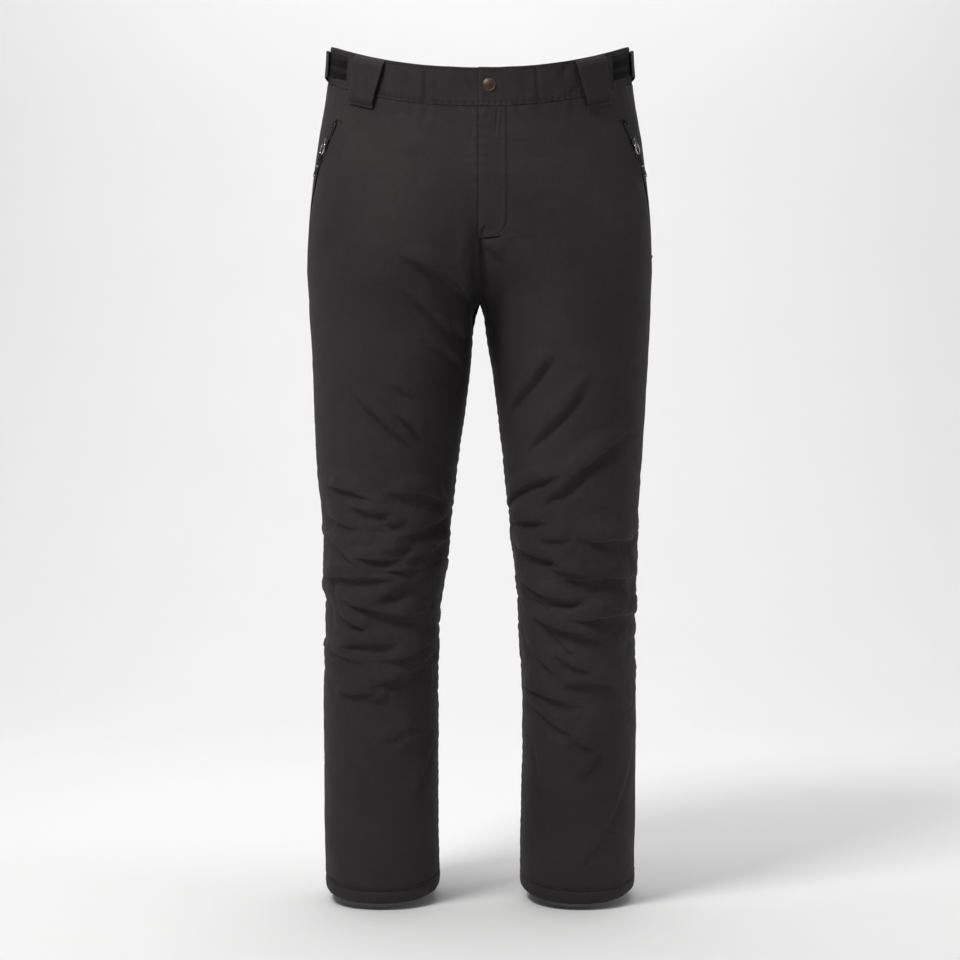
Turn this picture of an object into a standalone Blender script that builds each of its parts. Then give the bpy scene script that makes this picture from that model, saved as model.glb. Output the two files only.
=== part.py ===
"""Insulated ski pants, filled out and hanging from the waist as they are worn.

Metres, +Z up. The front faces -Y and the wearer's left is at +X. The origin is the centre of
the waist opening. A place on the garment is an angle round the section, in degrees, and a
level: 90 is the front, 180 the outer side and 270 the back. Over the hips the section is one
oval round both legs; below the crotch it is one oval for each leg, and 0 is the inseam.
"""

import math

import bmesh
import bpy
import numpy as np
from mathutils import Matrix, Vector

# Levels of the garment's seams and edges.
BAND_HEIGHT = 0.045
FLY_TURN = -0.218  # where the fly's edge starts to curve in
FLY_END = -0.248
FLY_CORNER = 3.0  # exponent of that curve; 2 is an ellipse
POCKET_END = -0.262
HEM_TOP = -0.996
HEM_END = -1.0137
LINING_END = -0.985
GAITER_TOP = -0.85
GAITER_END = -0.982

# Sections: level, outer x, inner x, front depth, back depth, centre y, slope of the section.
SECTIONS = np.array(
    (
        (0.0, 0.181, -0.181, 0.127, 0.122, 0.0, 0.0),
        (-0.045, 0.184, -0.184, 0.128, 0.130, 0.0, 0.0),
        (-0.12, 0.196, -0.188, 0.132, 0.148, 0.0, 0.0),
        (-0.17, 0.2025, -0.162, 0.1335, 0.157, 0.0, 0.0),
        (-0.22, 0.2065, -0.100, 0.1325, 0.159, 0.0, 0.0),
        (-0.265, 0.2078, -0.050, 0.129, 0.1545, 0.0, 0.0),
        (-0.311, 0.2062, 0.0008, 0.1235, 0.1445, 0.0, 0.0),
        (-0.36, 0.2035, 0.0118, 0.1175, 0.135, 0.0, 0.0),
        (-0.475, 0.1975, 0.026, 0.105, 0.112, -0.002, 0.0),
        (-0.59, 0.190, 0.037, 0.096, 0.093, -0.005, 0.0),
        (-0.70, 0.1885, 0.048, 0.090, 0.086, -0.002, 0.02),
        (-0.82, 0.1895, 0.0515, 0.084, 0.088, 0.010, 0.08),
        (-1.02, 0.188, 0.0495, 0.080, 0.090, 0.030, 0.137),
    )
)
ROUNDNESS = 2.15  # exponent of the superellipse; 2 is an ellipse
FRONT_DIP = 0.0505  # how far the waist edge falls from the sides to the centre front
DIP_POWER = 1.65
BACK_RISE = 0.004
DIP_FADE = -0.21  # level below which the waist's dip is gone
SIDE_SEAM = 188.0
BAND_JOIN = 195.0  # where the front and back waistbands meet
CENTRE_GAP = 0.0004  # each side's panels stop this short of the middle
PANEL_GAP = 0.0012  # between the waistband and the panels under it
SEAM_GAP = 0.0014  # between two panels, whose edges lean towards each other inside

# Thicknesses and depths under the outer surface.
SHELL = 0.0015
BAND = 0.0022
LINING_DEPTH = 0.0076
LINING = 0.0025

# The fly, the zips and their pulls.
FLY_WIDTH = 0.0385
FLY_ZIP_X = 0.008
LINING_FLY = 0.046
ZIP_HALF = 0.0023  # half the width of the chain
ZIP_ROOM = 0.0053  # panel edge to the middle of the zip
PLATE = (0.0042, 0.0060, 0.00035, 0.0020)  # half width, half length, underside, top
RING_HALF_WIDTH, RING_HALF_LENGTH, RING_WIRE = 0.0046, 0.0066, 0.0006
RING_START, RING_HEIGHT = 0.0005, 0.0028
POCKET_TOP = Vector((0.1735, -0.0640, -0.105))
POCKET_FOOT = Vector((0.2070, -0.0060, -0.252))
POCKET_SIDE = 166.0  # the side's angle at the zip's middle
POCKET_CLOSED, POCKET_OPEN = -0.0835, -0.0880  # levels between which the panels part for the zip
POCKET_BULGE = 0.0068  # how far the zip bows out from the chord between its ends
PULL_LENGTH = 0.0275
SNAP_X, SNAP_LEVEL = 0.0103, -0.0205
SLIDER_START = 0.0225  # from the top of a pocket's zip to the middle of its slider
FLY_ZIP_TOP, FLY_ZIP_END = -0.052, -0.208
FLY_CHAIN_DEPTH = 0.0052
FLY_SLIDER_START = 0.007
HINGE_LEVELS, HINGE_PROUD = (-0.10, -0.20), 0.0012  # the line that the fly's flap turns about

# The waist adjusters.
STRAP_TOP, STRAP_END = -0.005, -0.036
STRAP_FRONT, STRAP_BACK = 166.0, 222.0
STRAP_HINGE = 0.0014

COLUMNS = 10
FINE_TOP, FINE_END = -0.18, -0.35  # levels between which the crotch bends the panels most
COARSE_STEP, FINE_STEP = 0.055, 0.014

CHARCOAL = (0.038, 0.034, 0.035, 1)
BLACK = (0.010, 0.010, 0.011, 1)
LINING_GREY = (0.045, 0.047, 0.052, 1)
BRONZE = (0.32, 0.17, 0.08, 1)
STEEL = (0.55, 0.55, 0.55, 1)


def monotone_slopes(x, y):
    """Slopes at the stations that keep a cubic through them from overshooting."""
    rise = np.diff(y) / np.diff(x)
    slopes = np.zeros_like(y)
    slopes[0], slopes[-1] = rise[0], rise[-1]
    for i in range(1, len(y) - 1):
        before, after = rise[i - 1], rise[i]
        if before * after > 0:
            slopes[i] = 2 * before * after / (before + after)
    return slopes


DEPTHS = -SECTIONS[:, 0]
SLOPES = [monotone_slopes(DEPTHS, column) for column in SECTIONS.T[1:]]


def section(level):
    """Outer x, inner x, front depth, back depth, centre y and slope at a level."""
    depth = min(max(-level, DEPTHS[0]), DEPTHS[-1])
    i = min(int(np.searchsorted(DEPTHS, depth, side="right")) - 1, len(DEPTHS) - 2)
    span = DEPTHS[i + 1] - DEPTHS[i]
    t = (depth - DEPTHS[i]) / span
    found = []
    for column, slopes in zip(SECTIONS.T[1:], SLOPES):
        found.append(
            (2 * t**3 - 3 * t**2 + 1) * column[i]
            + (t**3 - 2 * t**2 + t) * span * slopes[i]
            + (3 * t**2 - 2 * t**3) * column[i + 1]
            + (t**3 - t**2) * span * slopes[i + 1]
        )
    return found


def signed_power(value, power):
    return math.copysign(abs(value) ** power, value)


def waist_dip(y, front, back, level):
    """How far the seams near the waist fall towards the front and rise at the back."""
    t = min(max((level - DIP_FADE) / (-BAND_HEIGHT - DIP_FADE), 0), 1)
    fade = t * t * (3 - 2 * t)
    if y < 0:
        return -FRONT_DIP * (-y / front) ** DIP_POWER * fade
    return BACK_RISE * (y / back) ** 2 * fade


def on_skin(angle, level):
    """The outer surface's point at this angle and level, on the wearer's left side."""
    outer, inner, front, back, centre_y, slope = section(level)
    turn = math.radians(angle)
    x = (outer + inner) / 2 - (outer - inner) / 2 * signed_power(math.cos(turn), 2 / ROUNDNESS)
    round_y = signed_power(math.sin(turn), 2 / ROUNDNESS)
    y = -(front if round_y > 0 else back) * round_y
    z = level + waist_dip(y, front, back, level) + slope * y
    return Vector((x, y + centre_y, z))


def outward(angle, level):
    """The outer surface's unit normal."""
    round_way = on_skin(angle + 0.5, level) - on_skin(angle - 0.5, level)
    down_way = on_skin(angle, level - 0.001) - on_skin(angle, level + 0.001)
    return down_way.cross(round_way).normalized()


def proud(angle, level, height):
    """A point this far outside the outer surface, or inside it where height is negative."""
    return on_skin(angle, level) + outward(angle, level) * height


def angle_at_x(x, level):
    """The angle on the front at which the section passes x."""
    outer, inner = section(level)[:2]
    across = ((outer + inner) / 2 - x) / ((outer - inner) / 2)
    across = min(max(across, -1), 1)
    return math.degrees(math.acos(signed_power(across, ROUNDNESS / 2)))


def degrees_for(width, level, angle):
    """The angle that covers this width along the surface."""
    step = on_skin(angle + 0.5, level) - on_skin(angle - 0.5, level)
    return width / step.length


def inner_edge(level):
    """The angle of the centre front seam, or below the crotch of the inseam."""
    seam = degrees_for(SEAM_GAP / 2, level, 2)
    return max(angle_at_x(CENTRE_GAP, level), seam)


def fly_edge(width, end):
    """The x of a line that runs down the fly and curves in to the middle at its end."""

    def at(level):
        if level >= FLY_TURN:
            return width
        drop = min((FLY_TURN - level) / (FLY_TURN - end), 1)
        return max(width * (1 - drop**FLY_CORNER) ** (1 / FLY_CORNER), CENTRE_GAP)

    return at


PLACKET_EDGE = fly_edge(FLY_WIDTH, FLY_END)
FLAP_EDGE = fly_edge(FLY_WIDTH - 0.0012, FLY_END + 0.0025)
LINING_EDGE = fly_edge(LINING_FLY, FLY_END - 0.012)


def pocket_arc():
    """The zip's arc: its centre, its radius and the directions down, out and across."""
    chord = POCKET_FOOT - POCKET_TOP
    down = chord.normalized()
    out = outward(POCKET_SIDE, (POCKET_TOP.z + POCKET_FOOT.z) / 2)
    out = (out - out.dot(down) * down).normalized()
    half = chord.length / 2
    radius = (half**2 + POCKET_BULGE**2) / (2 * POCKET_BULGE)
    middle = POCKET_TOP.lerp(POCKET_FOOT, 0.5)
    return middle + (POCKET_BULGE - radius) * out, radius, down, out, down.cross(out)


def on_zip(along, across=0.0, out=0.0):
    """A point on the left pocket's zip, at a distance along it from its top."""
    centre, radius, down, outwards, sideways = POCKET_ARC
    half_turn = math.asin((POCKET_FOOT - POCKET_TOP).length / 2 / radius)
    turn = along / radius - half_turn
    spoke = outwards * math.cos(turn) + down * math.sin(turn)
    return centre + (radius + out) * spoke + across * sideways


def zip_length():
    radius = POCKET_ARC[1]
    return 2 * radius * math.asin((POCKET_FOOT - POCKET_TOP).length / 2 / radius)


def pocket_angle(level):
    """The angle at which the pocket's zip, or its line carried on, passes this level."""
    outer, inner, front, back, _, _ = section(level)
    low, high = -0.10, 0.24
    for _ in range(30):
        along = (low + high) / 2
        point = on_zip(along)
        if point.z > level + waist_dip(point.y, front, back, level):
            low = along
        else:
            high = along
    depth = front if point.y < 0 else back
    along_y = abs(point.y / depth) ** (ROUNDNESS / 2)
    across = ((point.x - (outer + inner) / 2) / ((outer - inner) / 2)) ** (ROUNDNESS / 2)
    turn = math.degrees(math.atan2(along_y, across))
    return 180 - turn if point.y < 0 else 180 + turn


POCKET_ARC = pocket_arc()


def zip_room(level):
    """From a panel's edge to the middle of the zip, or above the zip to the middle of the seam."""
    parted = min(max((POCKET_CLOSED - level) / (POCKET_CLOSED - POCKET_OPEN), 0), 1)
    return SEAM_GAP / 2 + (ZIP_ROOM - SEAM_GAP / 2) * parted


def levels(top, end, fine_step=FINE_STEP):
    """Levels of a panel's rows, closer together round the crotch."""
    stops = [top]
    while stops[-1] > end:
        fine = FINE_END < stops[-1] < FINE_TOP
        stops.append(stops[-1] - (fine_step if fine else COARSE_STEP))
    stops[-1] = end
    if stops[-2] - end < 0.004:
        del stops[-2]
    return stops


def material(name, colour, roughness, metallic=0.0):
    made = bpy.data.materials.new(name)
    made.use_nodes = True
    shader = made.node_tree.nodes["Principled BSDF"]
    shader.inputs["Base Color"].default_value = colour
    shader.inputs["Roughness"].default_value = roughness
    shader.inputs["Metallic"].default_value = metallic
    made.diffuse_color = colour
    return made


def look(name, kind):
    """Each piece has its own material, named for it."""
    colour, roughness, metallic = KINDS[kind]
    return material(name + "_material", colour, roughness, metallic)


KINDS = {
    "shell": (CHARCOAL, 0.75, 0.0),
    "lining": (LINING_GREY, 0.85, 0.0),
    "tape": (BLACK, 0.8, 0.0),
    "plastic": (BLACK, 0.35, 0.0),
    "bronze": (BRONZE, 0.35, 1.0),
    "steel": (STEEL, 0.3, 1.0),
}


def add(name, mesh, kind, matrix=None, collection="ski_pants"):
    made = bpy.data.objects.new(name, mesh)
    bpy.data.collections[collection].objects.link(made)
    mesh.materials.append(look(name, kind))
    made["kind"] = kind
    if matrix is not None:
        made.matrix_world = matrix
    return made


def grid_mesh(name, rows, closed=False):
    """A surface through rows of points that run round the garment, its faces outwards."""
    mesh = bpy.data.meshes.new(name)
    shape = bmesh.new()
    lines = [[shape.verts.new(point) for point in row] for row in rows]
    for upper, lower in zip(lines, lines[1:]):
        count = len(upper)
        for i in range(count if closed else count - 1):
            j = (i + 1) % count
            shape.faces.new((upper[i], lower[i], lower[j], upper[j]))
    shape.to_mesh(mesh)
    shape.free()
    return mesh


def thicken(piece, thickness):
    solidify = piece.modifiers.new("Solidify", "SOLIDIFY")
    solidify.thickness = thickness
    solidify.offset = -1
    return piece


def cloth(name, start, end, stops, height, thickness, kind="shell", columns=COLUMNS):
    """A sewn piece on the garment between two edges, given as angles or functions of level.

    height is how far its outer face stands out of the garment's surface: a number, or a
    function of angle and level.
    """
    rows = []
    for level in stops:
        first = start(level) if callable(start) else start
        last = end(level) if callable(end) else end
        angles = np.linspace(first, last, columns + 1)
        rows.append(
            [
                proud(a, level, height(a, level) if callable(height) else height)
                for a in map(float, angles)
            ]
        )
    return thicken(add(name, grid_mesh(name, rows), kind), thickness)


def mirror_copy(piece, name):
    """The piece's mirror image on the wearer's right."""
    mesh = piece.data.copy()
    flip = Matrix.Scale(-1, 4, (1, 0, 0))
    mesh.transform(flip @ piece.matrix_world)
    mesh.flip_normals()
    mesh.name = name
    mesh.materials.clear()
    made = add(name, mesh, piece["kind"])
    for modifier in piece.modifiers:
        if modifier.type == "SOLIDIFY":
            thicken(made, modifier.thickness)
    return made


def both(piece):
    """Adds the mirror image of a piece whose name ends in _left."""
    return piece, mirror_copy(piece, piece.name.replace("_left", "_right"))


def right_only(piece, name):
    """Replaces a piece built on the wearer's left with its mirror image."""
    mirror_copy(piece, name)
    bpy.data.objects.remove(piece)


def put_origin(piece, point):
    """Moves the piece's origin to a point on its joint's axis, leaving its shape in place."""
    piece.data.transform(Matrix.Translation(-point) @ piece.matrix_world)
    piece.matrix_world = Matrix.Translation(point)


def frame_on(origin, down, out):
    """A matrix with X across, Y down along the zip and Z outwards."""
    down = down.normalized()
    out = (out - out.dot(down) * down).normalized()
    across = down.cross(out)
    return Matrix.Translation(origin) @ Matrix((across, down, out)).transposed().to_4x4()


def outline_mesh(name, outlines, half_width, turn=None):
    """A flat outline with holes, extruded both ways. turn takes it out of the XY plane."""
    curve = bpy.data.curves.new(name, "CURVE")
    curve.dimensions = "2D"
    curve.fill_mode = "BOTH"
    curve.extrude = half_width
    for outline in outlines:
        spline = curve.splines.new("POLY")
        spline.points.add(len(outline) - 1)
        for point, (x, y) in zip(spline.points, outline):
            point.co = (x, y, 0, 1)
        spline.use_cyclic_u = True
    guide = bpy.data.objects.new(name, curve)
    bpy.data.collections["cutters"].objects.link(guide)
    bpy.context.view_layer.update()
    mesh = bpy.data.meshes.new_from_object(guide.evaluated_get(bpy.context.evaluated_depsgraph_get()))
    bpy.data.objects.remove(guide)
    mesh.name = name
    mesh.materials.clear()
    shape = bmesh.new()
    shape.from_mesh(mesh)
    bmesh.ops.remove_doubles(shape, verts=shape.verts, dist=1e-6)
    bmesh.ops.recalc_face_normals(shape, faces=shape.faces)
    shape.to_mesh(mesh)
    shape.free()
    if turn is not None:
        mesh.transform(turn)
    return mesh


def rectangle(x0, x1, y0, y1):
    return [(x0, y0), (x1, y0), (x1, y1), (x0, y1)]


def box_mesh(name, x, y, z):
    """A box between two values on each axis."""
    mesh = bpy.data.meshes.new(name)
    shape = bmesh.new()
    size = Matrix.Diagonal((x[1] - x[0], y[1] - y[0], z[1] - z[0], 1))
    middle = Matrix.Translation(((x[0] + x[1]) / 2, (y[0] + y[1]) / 2, (z[0] + z[1]) / 2))
    bmesh.ops.create_cube(shape, size=1, matrix=middle @ size)
    shape.to_mesh(mesh)
    shape.free()
    return mesh


# An outline drawn in XY becomes one in YZ, extruded along X.
UPRIGHT = Matrix(((0, 0, 1, 0), (1, 0, 0, 0), (0, 1, 0, 0), (0, 0, 0, 1)))
# An outline drawn in XY becomes one in XZ, extruded along Y.
ACROSS = Matrix(((1, 0, 0, 0), (0, 0, -1, 0), (0, 1, 0, 0), (0, 0, 0, 1)))


def turned(name, profile, kind, matrix):
    """A turned piece: its profile is spun round Z. One that leaves the axis has a hole."""
    mesh = bpy.data.meshes.new(name)
    shape = bmesh.new()
    points = [shape.verts.new((r, 0, z)) for r, z in profile]
    hollow = profile[0][0] > 0
    for a, b in list(zip(points, points[1:])) + ([(points[-1], points[0])] if hollow else []):
        shape.edges.new((a, b))
    bmesh.ops.spin(
        shape, geom=shape.verts[:] + shape.edges[:], axis=(0, 0, 1), cent=(0, 0, 0), steps=20,
        angle=2 * math.pi,
    )
    bmesh.ops.remove_doubles(shape, verts=shape.verts, dist=1e-6)
    bmesh.ops.recalc_face_normals(shape, faces=shape.faces)
    shape.to_mesh(mesh)
    shape.free()
    return add(name, mesh, kind, matrix)


def make_panels():
    """The outer fabric: two fronts cut along the pocket zips, two sides and two backs."""

    def front_start(level):
        if level > FLY_END:
            return max(angle_at_x(PLACKET_EDGE(level), level), inner_edge(level))
        return inner_edge(level)

    def front_end(level):
        if level >= POCKET_END:
            return pocket_angle(level) - degrees_for(zip_room(level), level, 165)
        return SIDE_SEAM - degrees_for(SEAM_GAP / 2, level, 185)

    def side_start(level):
        return pocket_angle(level) + degrees_for(zip_room(level), level, 165)

    def side_end(level):
        return SIDE_SEAM - degrees_for(SEAM_GAP / 2, level, 185)

    def back_start(level):
        return SIDE_SEAM + degrees_for(SEAM_GAP / 2, level, 185)

    def back_end(level):
        return 360 - inner_edge(level)

    top = -BAND_HEIGHT - PANEL_GAP
    above = [top, POCKET_CLOSED, *levels(POCKET_OPEN, FLY_END), POCKET_END]
    above.insert(-2, FLY_END + 0.0035)  # one more row for the fly's tight corner
    below = levels(POCKET_END - 0.0012, HEM_TOP + 0.0004)
    both(cloth("front_panel_left", front_start, front_end, above + below, 0, SHELL))
    sides = [top, POCKET_CLOSED, *levels(POCKET_OPEN, POCKET_END + 0.0012)]
    both(cloth("side_panel_left", side_start, side_end, sides, 0, SHELL, columns=4))
    backs = levels(top, HEM_TOP + 0.0004)
    both(cloth("back_panel_left", back_start, back_end, backs, 0, SHELL))


def make_right_front():
    """On the wearer's right the front runs on to the middle, under the fly's flap."""
    pattern = cloth(
        "fly_facing_pattern",
        inner_edge,
        lambda level: angle_at_x(FLAP_EDGE(level), level),
        levels(-BAND_HEIGHT - PANEL_GAP, FLY_END + 0.003),
        0,
        SHELL,
        columns=3,
    )
    right_only(pattern, "fly_facing_right")


def make_lining():
    def start(level):
        if level > FLY_END - 0.012:
            return max(angle_at_x(LINING_EDGE(level), level), inner_edge(level))
        return inner_edge(level)

    stops = levels(-BAND_HEIGHT - 0.004, LINING_END)
    piece = cloth(
        "insulated_lining_left",
        start,
        lambda level: 360 - inner_edge(level),
        stops,
        -LINING_DEPTH,
        LINING,
        "lining",
        columns=12,
    )
    both(piece)
    bag = cloth(
        "pocket_bag_left",
        lambda level: pocket_angle(level) - 34,
        lambda level: pocket_angle(level) - 2.2,
        levels(-0.085, -0.265),
        -0.0034,
        0.0008,
        "tape",
        columns=4,
    )
    both(bag)


def make_waistband():
    middle = -BAND_HEIGHT / 2
    stops = [0.0, middle, -BAND_HEIGHT]
    join_gap = 0.3  # degrees between the front and back bands
    tab_edge = FLY_WIDTH - 0.0006
    cloth(
        "waistband_front_left",
        lambda level: angle_at_x(FLY_WIDTH, level),
        BAND_JOIN,
        stops,
        0,
        BAND,
        columns=8,
    )
    pattern = cloth("waistband_pattern", 90.15, BAND_JOIN, stops, 0, BAND, columns=10)
    right_only(pattern, "waistband_front_right")
    ends = BAND_JOIN + join_gap, 540 - BAND_JOIN - join_gap
    cloth("waistband_back", *ends, stops, 0, BAND, columns=14)
    inner = [-0.002, middle, -BAND_HEIGHT + 0.001]
    cloth("waist_elastic", 212, 328, inner, -0.0036, 0.0010, "tape", columns=12)
    facing = [-0.001, middle, -BAND_HEIGHT]
    cloth("waistband_facing", 105, 434, facing, -0.0058, 0.0010, "lining", columns=26)
    under = [-0.001, -BAND_HEIGHT + 0.001]
    cloth(
        "waistband_underlap",
        lambda level: angle_at_x(-0.020, level),
        lambda level: angle_at_x(0.028, level),
        under,
        -0.0034,
        0.0012,
        columns=3,
    )
    return cloth(
        "waistband_tab",
        lambda level: angle_at_x(0.0012, level),
        lambda level: angle_at_x(tab_edge, level),
        [0.0, middle, -BAND_HEIGHT + 0.0004],
        0.0006,
        0.0018,
        columns=4,
    )


def fly_axis():
    """The line that the fly's flap turns about: a point and its direction.

    It runs just in front of the whole edge, so that no part of the flap turns into the panel.
    """
    upper, lower = [
        proud(angle_at_x(FLY_WIDTH, level), level, HINGE_PROUD) for level in HINGE_LEVELS
    ]
    return upper, (upper - lower).normalized()


def make_fly():
    """The flap and the band's tab open to the wearer's left; the zip stays behind them."""
    tab = make_waistband()
    stops = levels(-BAND_HEIGHT - PANEL_GAP, FLY_END + 0.003)
    placket = cloth(
        "fly_placket",
        lambda level: angle_at_x(0.0012, level),
        lambda level: angle_at_x(FLAP_EDGE(level), level),
        stops,
        0,
        0.0013,
        columns=4,
    )
    start, _ = fly_axis()
    for piece in (tab, placket):
        put_origin(piece, start)
    rows = [-0.050, -0.10, -0.15, -0.19, -0.215, -0.237]
    for name, left, right, depth, thick in (
        ("fly_shield", -0.018, 0.034, 0.0106, 0.0010),
        ("fly_zip_tape_left", FLY_ZIP_X + 0.0044, 0.030, 0.0050, 0.0005),
        ("fly_zip_tape_right", -0.014, FLY_ZIP_X - 0.0044, 0.0050, 0.0005),
    ):
        cloth(
            name,
            lambda level, x=left: angle_at_x(x, level),
            lambda level, x=right: angle_at_x(x, level),
            rows,
            -depth,
            thick,
            "tape",
            columns=3,
        )
    make_fly_zip()
    make_snap()


def fly_zip_line():
    """The top of the fly's chain, its foot and the way out of the garment."""
    ends = [
        proud(angle_at_x(FLY_ZIP_X, level), level, -FLY_CHAIN_DEPTH)
        for level in (FLY_ZIP_TOP, FLY_ZIP_END)
    ]
    return ends[0], ends[1], outward(angle_at_x(FLY_ZIP_X, -0.13), -0.13)


def make_fly_zip():
    top, foot, out = fly_zip_line()
    place = frame_on(top, foot - top, out)
    length = (foot - top).length
    chain = box_mesh("fly_zip_teeth", (-ZIP_HALF, ZIP_HALF), (0, length), (-0.0012, 0))
    add("fly_zip_teeth", chain, "tape", place)
    body = outline_mesh(
        "fly_zip_slider",
        [[(-0.0038, -0.0008), (-0.0026, -0.0008), (-0.0026, 0.0003), (0.0026, 0.0003),
          (0.0026, -0.0008), (0.0038, -0.0008), (0.0038, 0.0014), (-0.0038, 0.0014)]],
        0.0045,
        ACROSS,
    )
    start = place @ Matrix.Translation((0, FLY_SLIDER_START, 0))
    add("fly_zip_slider", body, "plastic", start)
    pull = box_mesh("fly_zip_pull", (-0.002, 0.002), (-0.002, 0.019), (0.0016, 0.0022))
    add("fly_zip_pull", pull, "plastic", start)


def make_snap():
    """A snap's cap and socket on the tab, and its stud and rivet on the band beneath."""
    angle = angle_at_x(SNAP_X, SNAP_LEVEL)
    place = Matrix.Translation(on_skin(angle, SNAP_LEVEL))
    place = place @ outward(angle, SNAP_LEVEL).to_track_quat("Z", "Y").to_matrix().to_4x4()
    cap = ((0, 0.0031), (0.0035, 0.0029), (0.0062, 0.0024), (0.0074, 0.0017), (0.0074, 0.0010), (0, 0.0010))
    socket = ((0.0024, -0.0015), (0.0058, -0.0015), (0.0058, -0.0023), (0.0024, -0.0023))
    stud = ((0, -0.0016), (0.0018, -0.0016), (0.0018, -0.0025), (0.0050, -0.0025), (0.0050, -0.0028), (0, -0.0028))
    rivet = ((0, -0.0048), (0.0040, -0.0048), (0.0040, -0.0056), (0, -0.0056))
    pieces = [
        turned("snap_cap", cap, "bronze", place),
        turned("snap_socket", socket, "steel", place),
    ]
    turned("snap_stud", stud, "steel", place)
    turned("snap_rivet", rivet, "bronze", place)
    start, _ = fly_axis()
    for piece in pieces:
        put_origin(piece, start)


def loop_height(level):
    """A belt loop lies on the band at both ends and stands off it between them."""
    rise = min((0.002 - level) / 0.010, (level + 0.0625) / 0.010, 1.0)
    return 0.0016 + 0.0036 * max(rise - 0.35, 0) / 0.65


def make_belt_loops():
    stops = [-0.0015, -0.005, -0.0085, -0.020, -0.034, -0.048, -0.053, -0.0565, -0.0605]
    for name, middle, half, lean in (
        ("belt_loop_front_left", 134.5, 0.0165, 3.6),
        ("belt_loop_back_left", 232.0, 0.011, 0),
    ):
        both(
            cloth(
                name,
                lambda level, a=middle, w=half, k=lean: a - k * level / 0.06 - degrees_for(w, level, a),
                lambda level, a=middle, w=half, k=lean: a - k * level / 0.06 + degrees_for(w, level, a),
                stops,
                lambda angle, level: loop_height(level),
                0.0013,
                columns=3,
            )
        )
    cloth(
        "belt_loop_back_middle",
        lambda level: 270 - degrees_for(0.011, level, 270),
        lambda level: 270 + degrees_for(0.011, level, 270),
        stops,
        lambda angle, level: loop_height(level),
        0.0013,
        columns=3,
    )


def strap_height(angle, level):
    """The strap is sewn down at its back end and rides over the patch at its front."""
    return 0.0018 + 0.0026 * min((STRAP_BACK - angle) / 25, 1)


def make_adjusters():
    """On each side a strap peels off its patch about its sewn end and sticks down tighter."""
    stops = [STRAP_TOP, (STRAP_TOP + STRAP_END) / 2, STRAP_END]
    patch = [STRAP_TOP - 0.001, STRAP_END + 0.001]
    hinge = proud(STRAP_BACK, (STRAP_TOP + STRAP_END) / 2, STRAP_HINGE)
    both(cloth("loop_patch_left", 147, 180, patch, 0.0012, 0.0008, "tape", columns=5))
    strap = cloth(
        "adjuster_strap_left", STRAP_FRONT, STRAP_BACK, stops, strap_height, 0.0012, columns=10
    )
    pad = cloth("hook_pad_left", 167, 178, patch, 0.0028, 0.0012, "tape", columns=3)
    for piece in (strap, pad):
        for side in both(piece):
            flip = -1 if side.name.endswith("right") else 1
            put_origin(side, Vector((hinge.x * flip, hinge.y, hinge.z)))


def pocket_frame(along):
    """The frame of the left pocket's zip, at a distance down from its top."""
    here = on_zip(along)
    return frame_on(here, on_zip(along + 0.001) - here, on_zip(along, 0, 0.001) - here)


def bent_strip(name, start, end, half_width, under, top, kind):
    """A flat strip that follows the left pocket's zip."""
    count = 12
    rows = []
    for i in range(count + 1):
        along = start + (end - start) * i / count
        corners = ((-half_width, top), (half_width, top), (half_width, under), (-half_width, under))
        rows.append([on_zip(along, across, out) for across, out in corners])
    mesh = bpy.data.meshes.new(name)
    shape = bmesh.new()
    lines = [[shape.verts.new(point) for point in row] for row in rows]
    for upper, lower in zip(lines, lines[1:]):
        for k in range(4):
            n = (k + 1) % 4
            shape.faces.new((upper[k], lower[k], lower[n], upper[n]))
    shape.faces.new(lines[0])
    shape.faces.new(lines[-1][::-1])
    bmesh.ops.recalc_face_normals(shape, faces=shape.faces)
    shape.to_mesh(mesh)
    shape.free()
    return add(name, mesh, kind)


def slider_mesh(name):
    """A slider that straddles the chain, with a bridge on top for the ring."""
    wide, half_long, under, top = PLATE
    leg = 0.0028
    channel = [
        (-wide, -0.0011), (-leg, -0.0011), (-leg, under), (leg, under),
        (leg, -0.0011), (wide, -0.0011), (wide, top), (-wide, top),
    ]
    mesh = outline_mesh(name, [channel], half_long, ACROSS)
    bridge = outline_mesh(
        name + "_bridge",
        [rectangle(-0.0031, 0.0031, top - 0.0004, 0.0044), rectangle(-0.0022, 0.0022, top, 0.0036)],
        0.0008,
        UPRIGHT,
    )
    return mesh, bridge


def ring_mesh(name):
    """The wire ring, hanging down the zip from the slider's bridge."""
    mesh = bpy.data.meshes.new(name)
    shape = bmesh.new()
    rings, sides = 20, 6
    verts = []
    for i in range(rings):
        turn = 2 * math.pi * i / rings
        across, along = RING_HALF_WIDTH * math.sin(turn), RING_HALF_LENGTH * math.cos(turn)
        middle = Vector((across, RING_HALF_LENGTH - along, 0))
        outwards = Vector((across / RING_HALF_WIDTH**2, -along / RING_HALF_LENGTH**2, 0)).normalized()
        row = []
        for k in range(sides):
            swing = 2 * math.pi * k / sides
            row.append(
                shape.verts.new(
                    middle
                    + outwards * RING_WIRE * math.cos(swing)
                    + Vector((0, 0, RING_WIRE * math.sin(swing)))
                )
            )
        verts.append(row)
    for i in range(rings):
        for k in range(sides):
            a, b = verts[i], verts[(i + 1) % rings]
            shape.faces.new((a[k], b[k], b[(k + 1) % sides], a[(k + 1) % sides]))
    bmesh.ops.recalc_face_normals(shape, faces=shape.faces)
    shape.to_mesh(mesh)
    shape.free()
    return mesh


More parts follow.
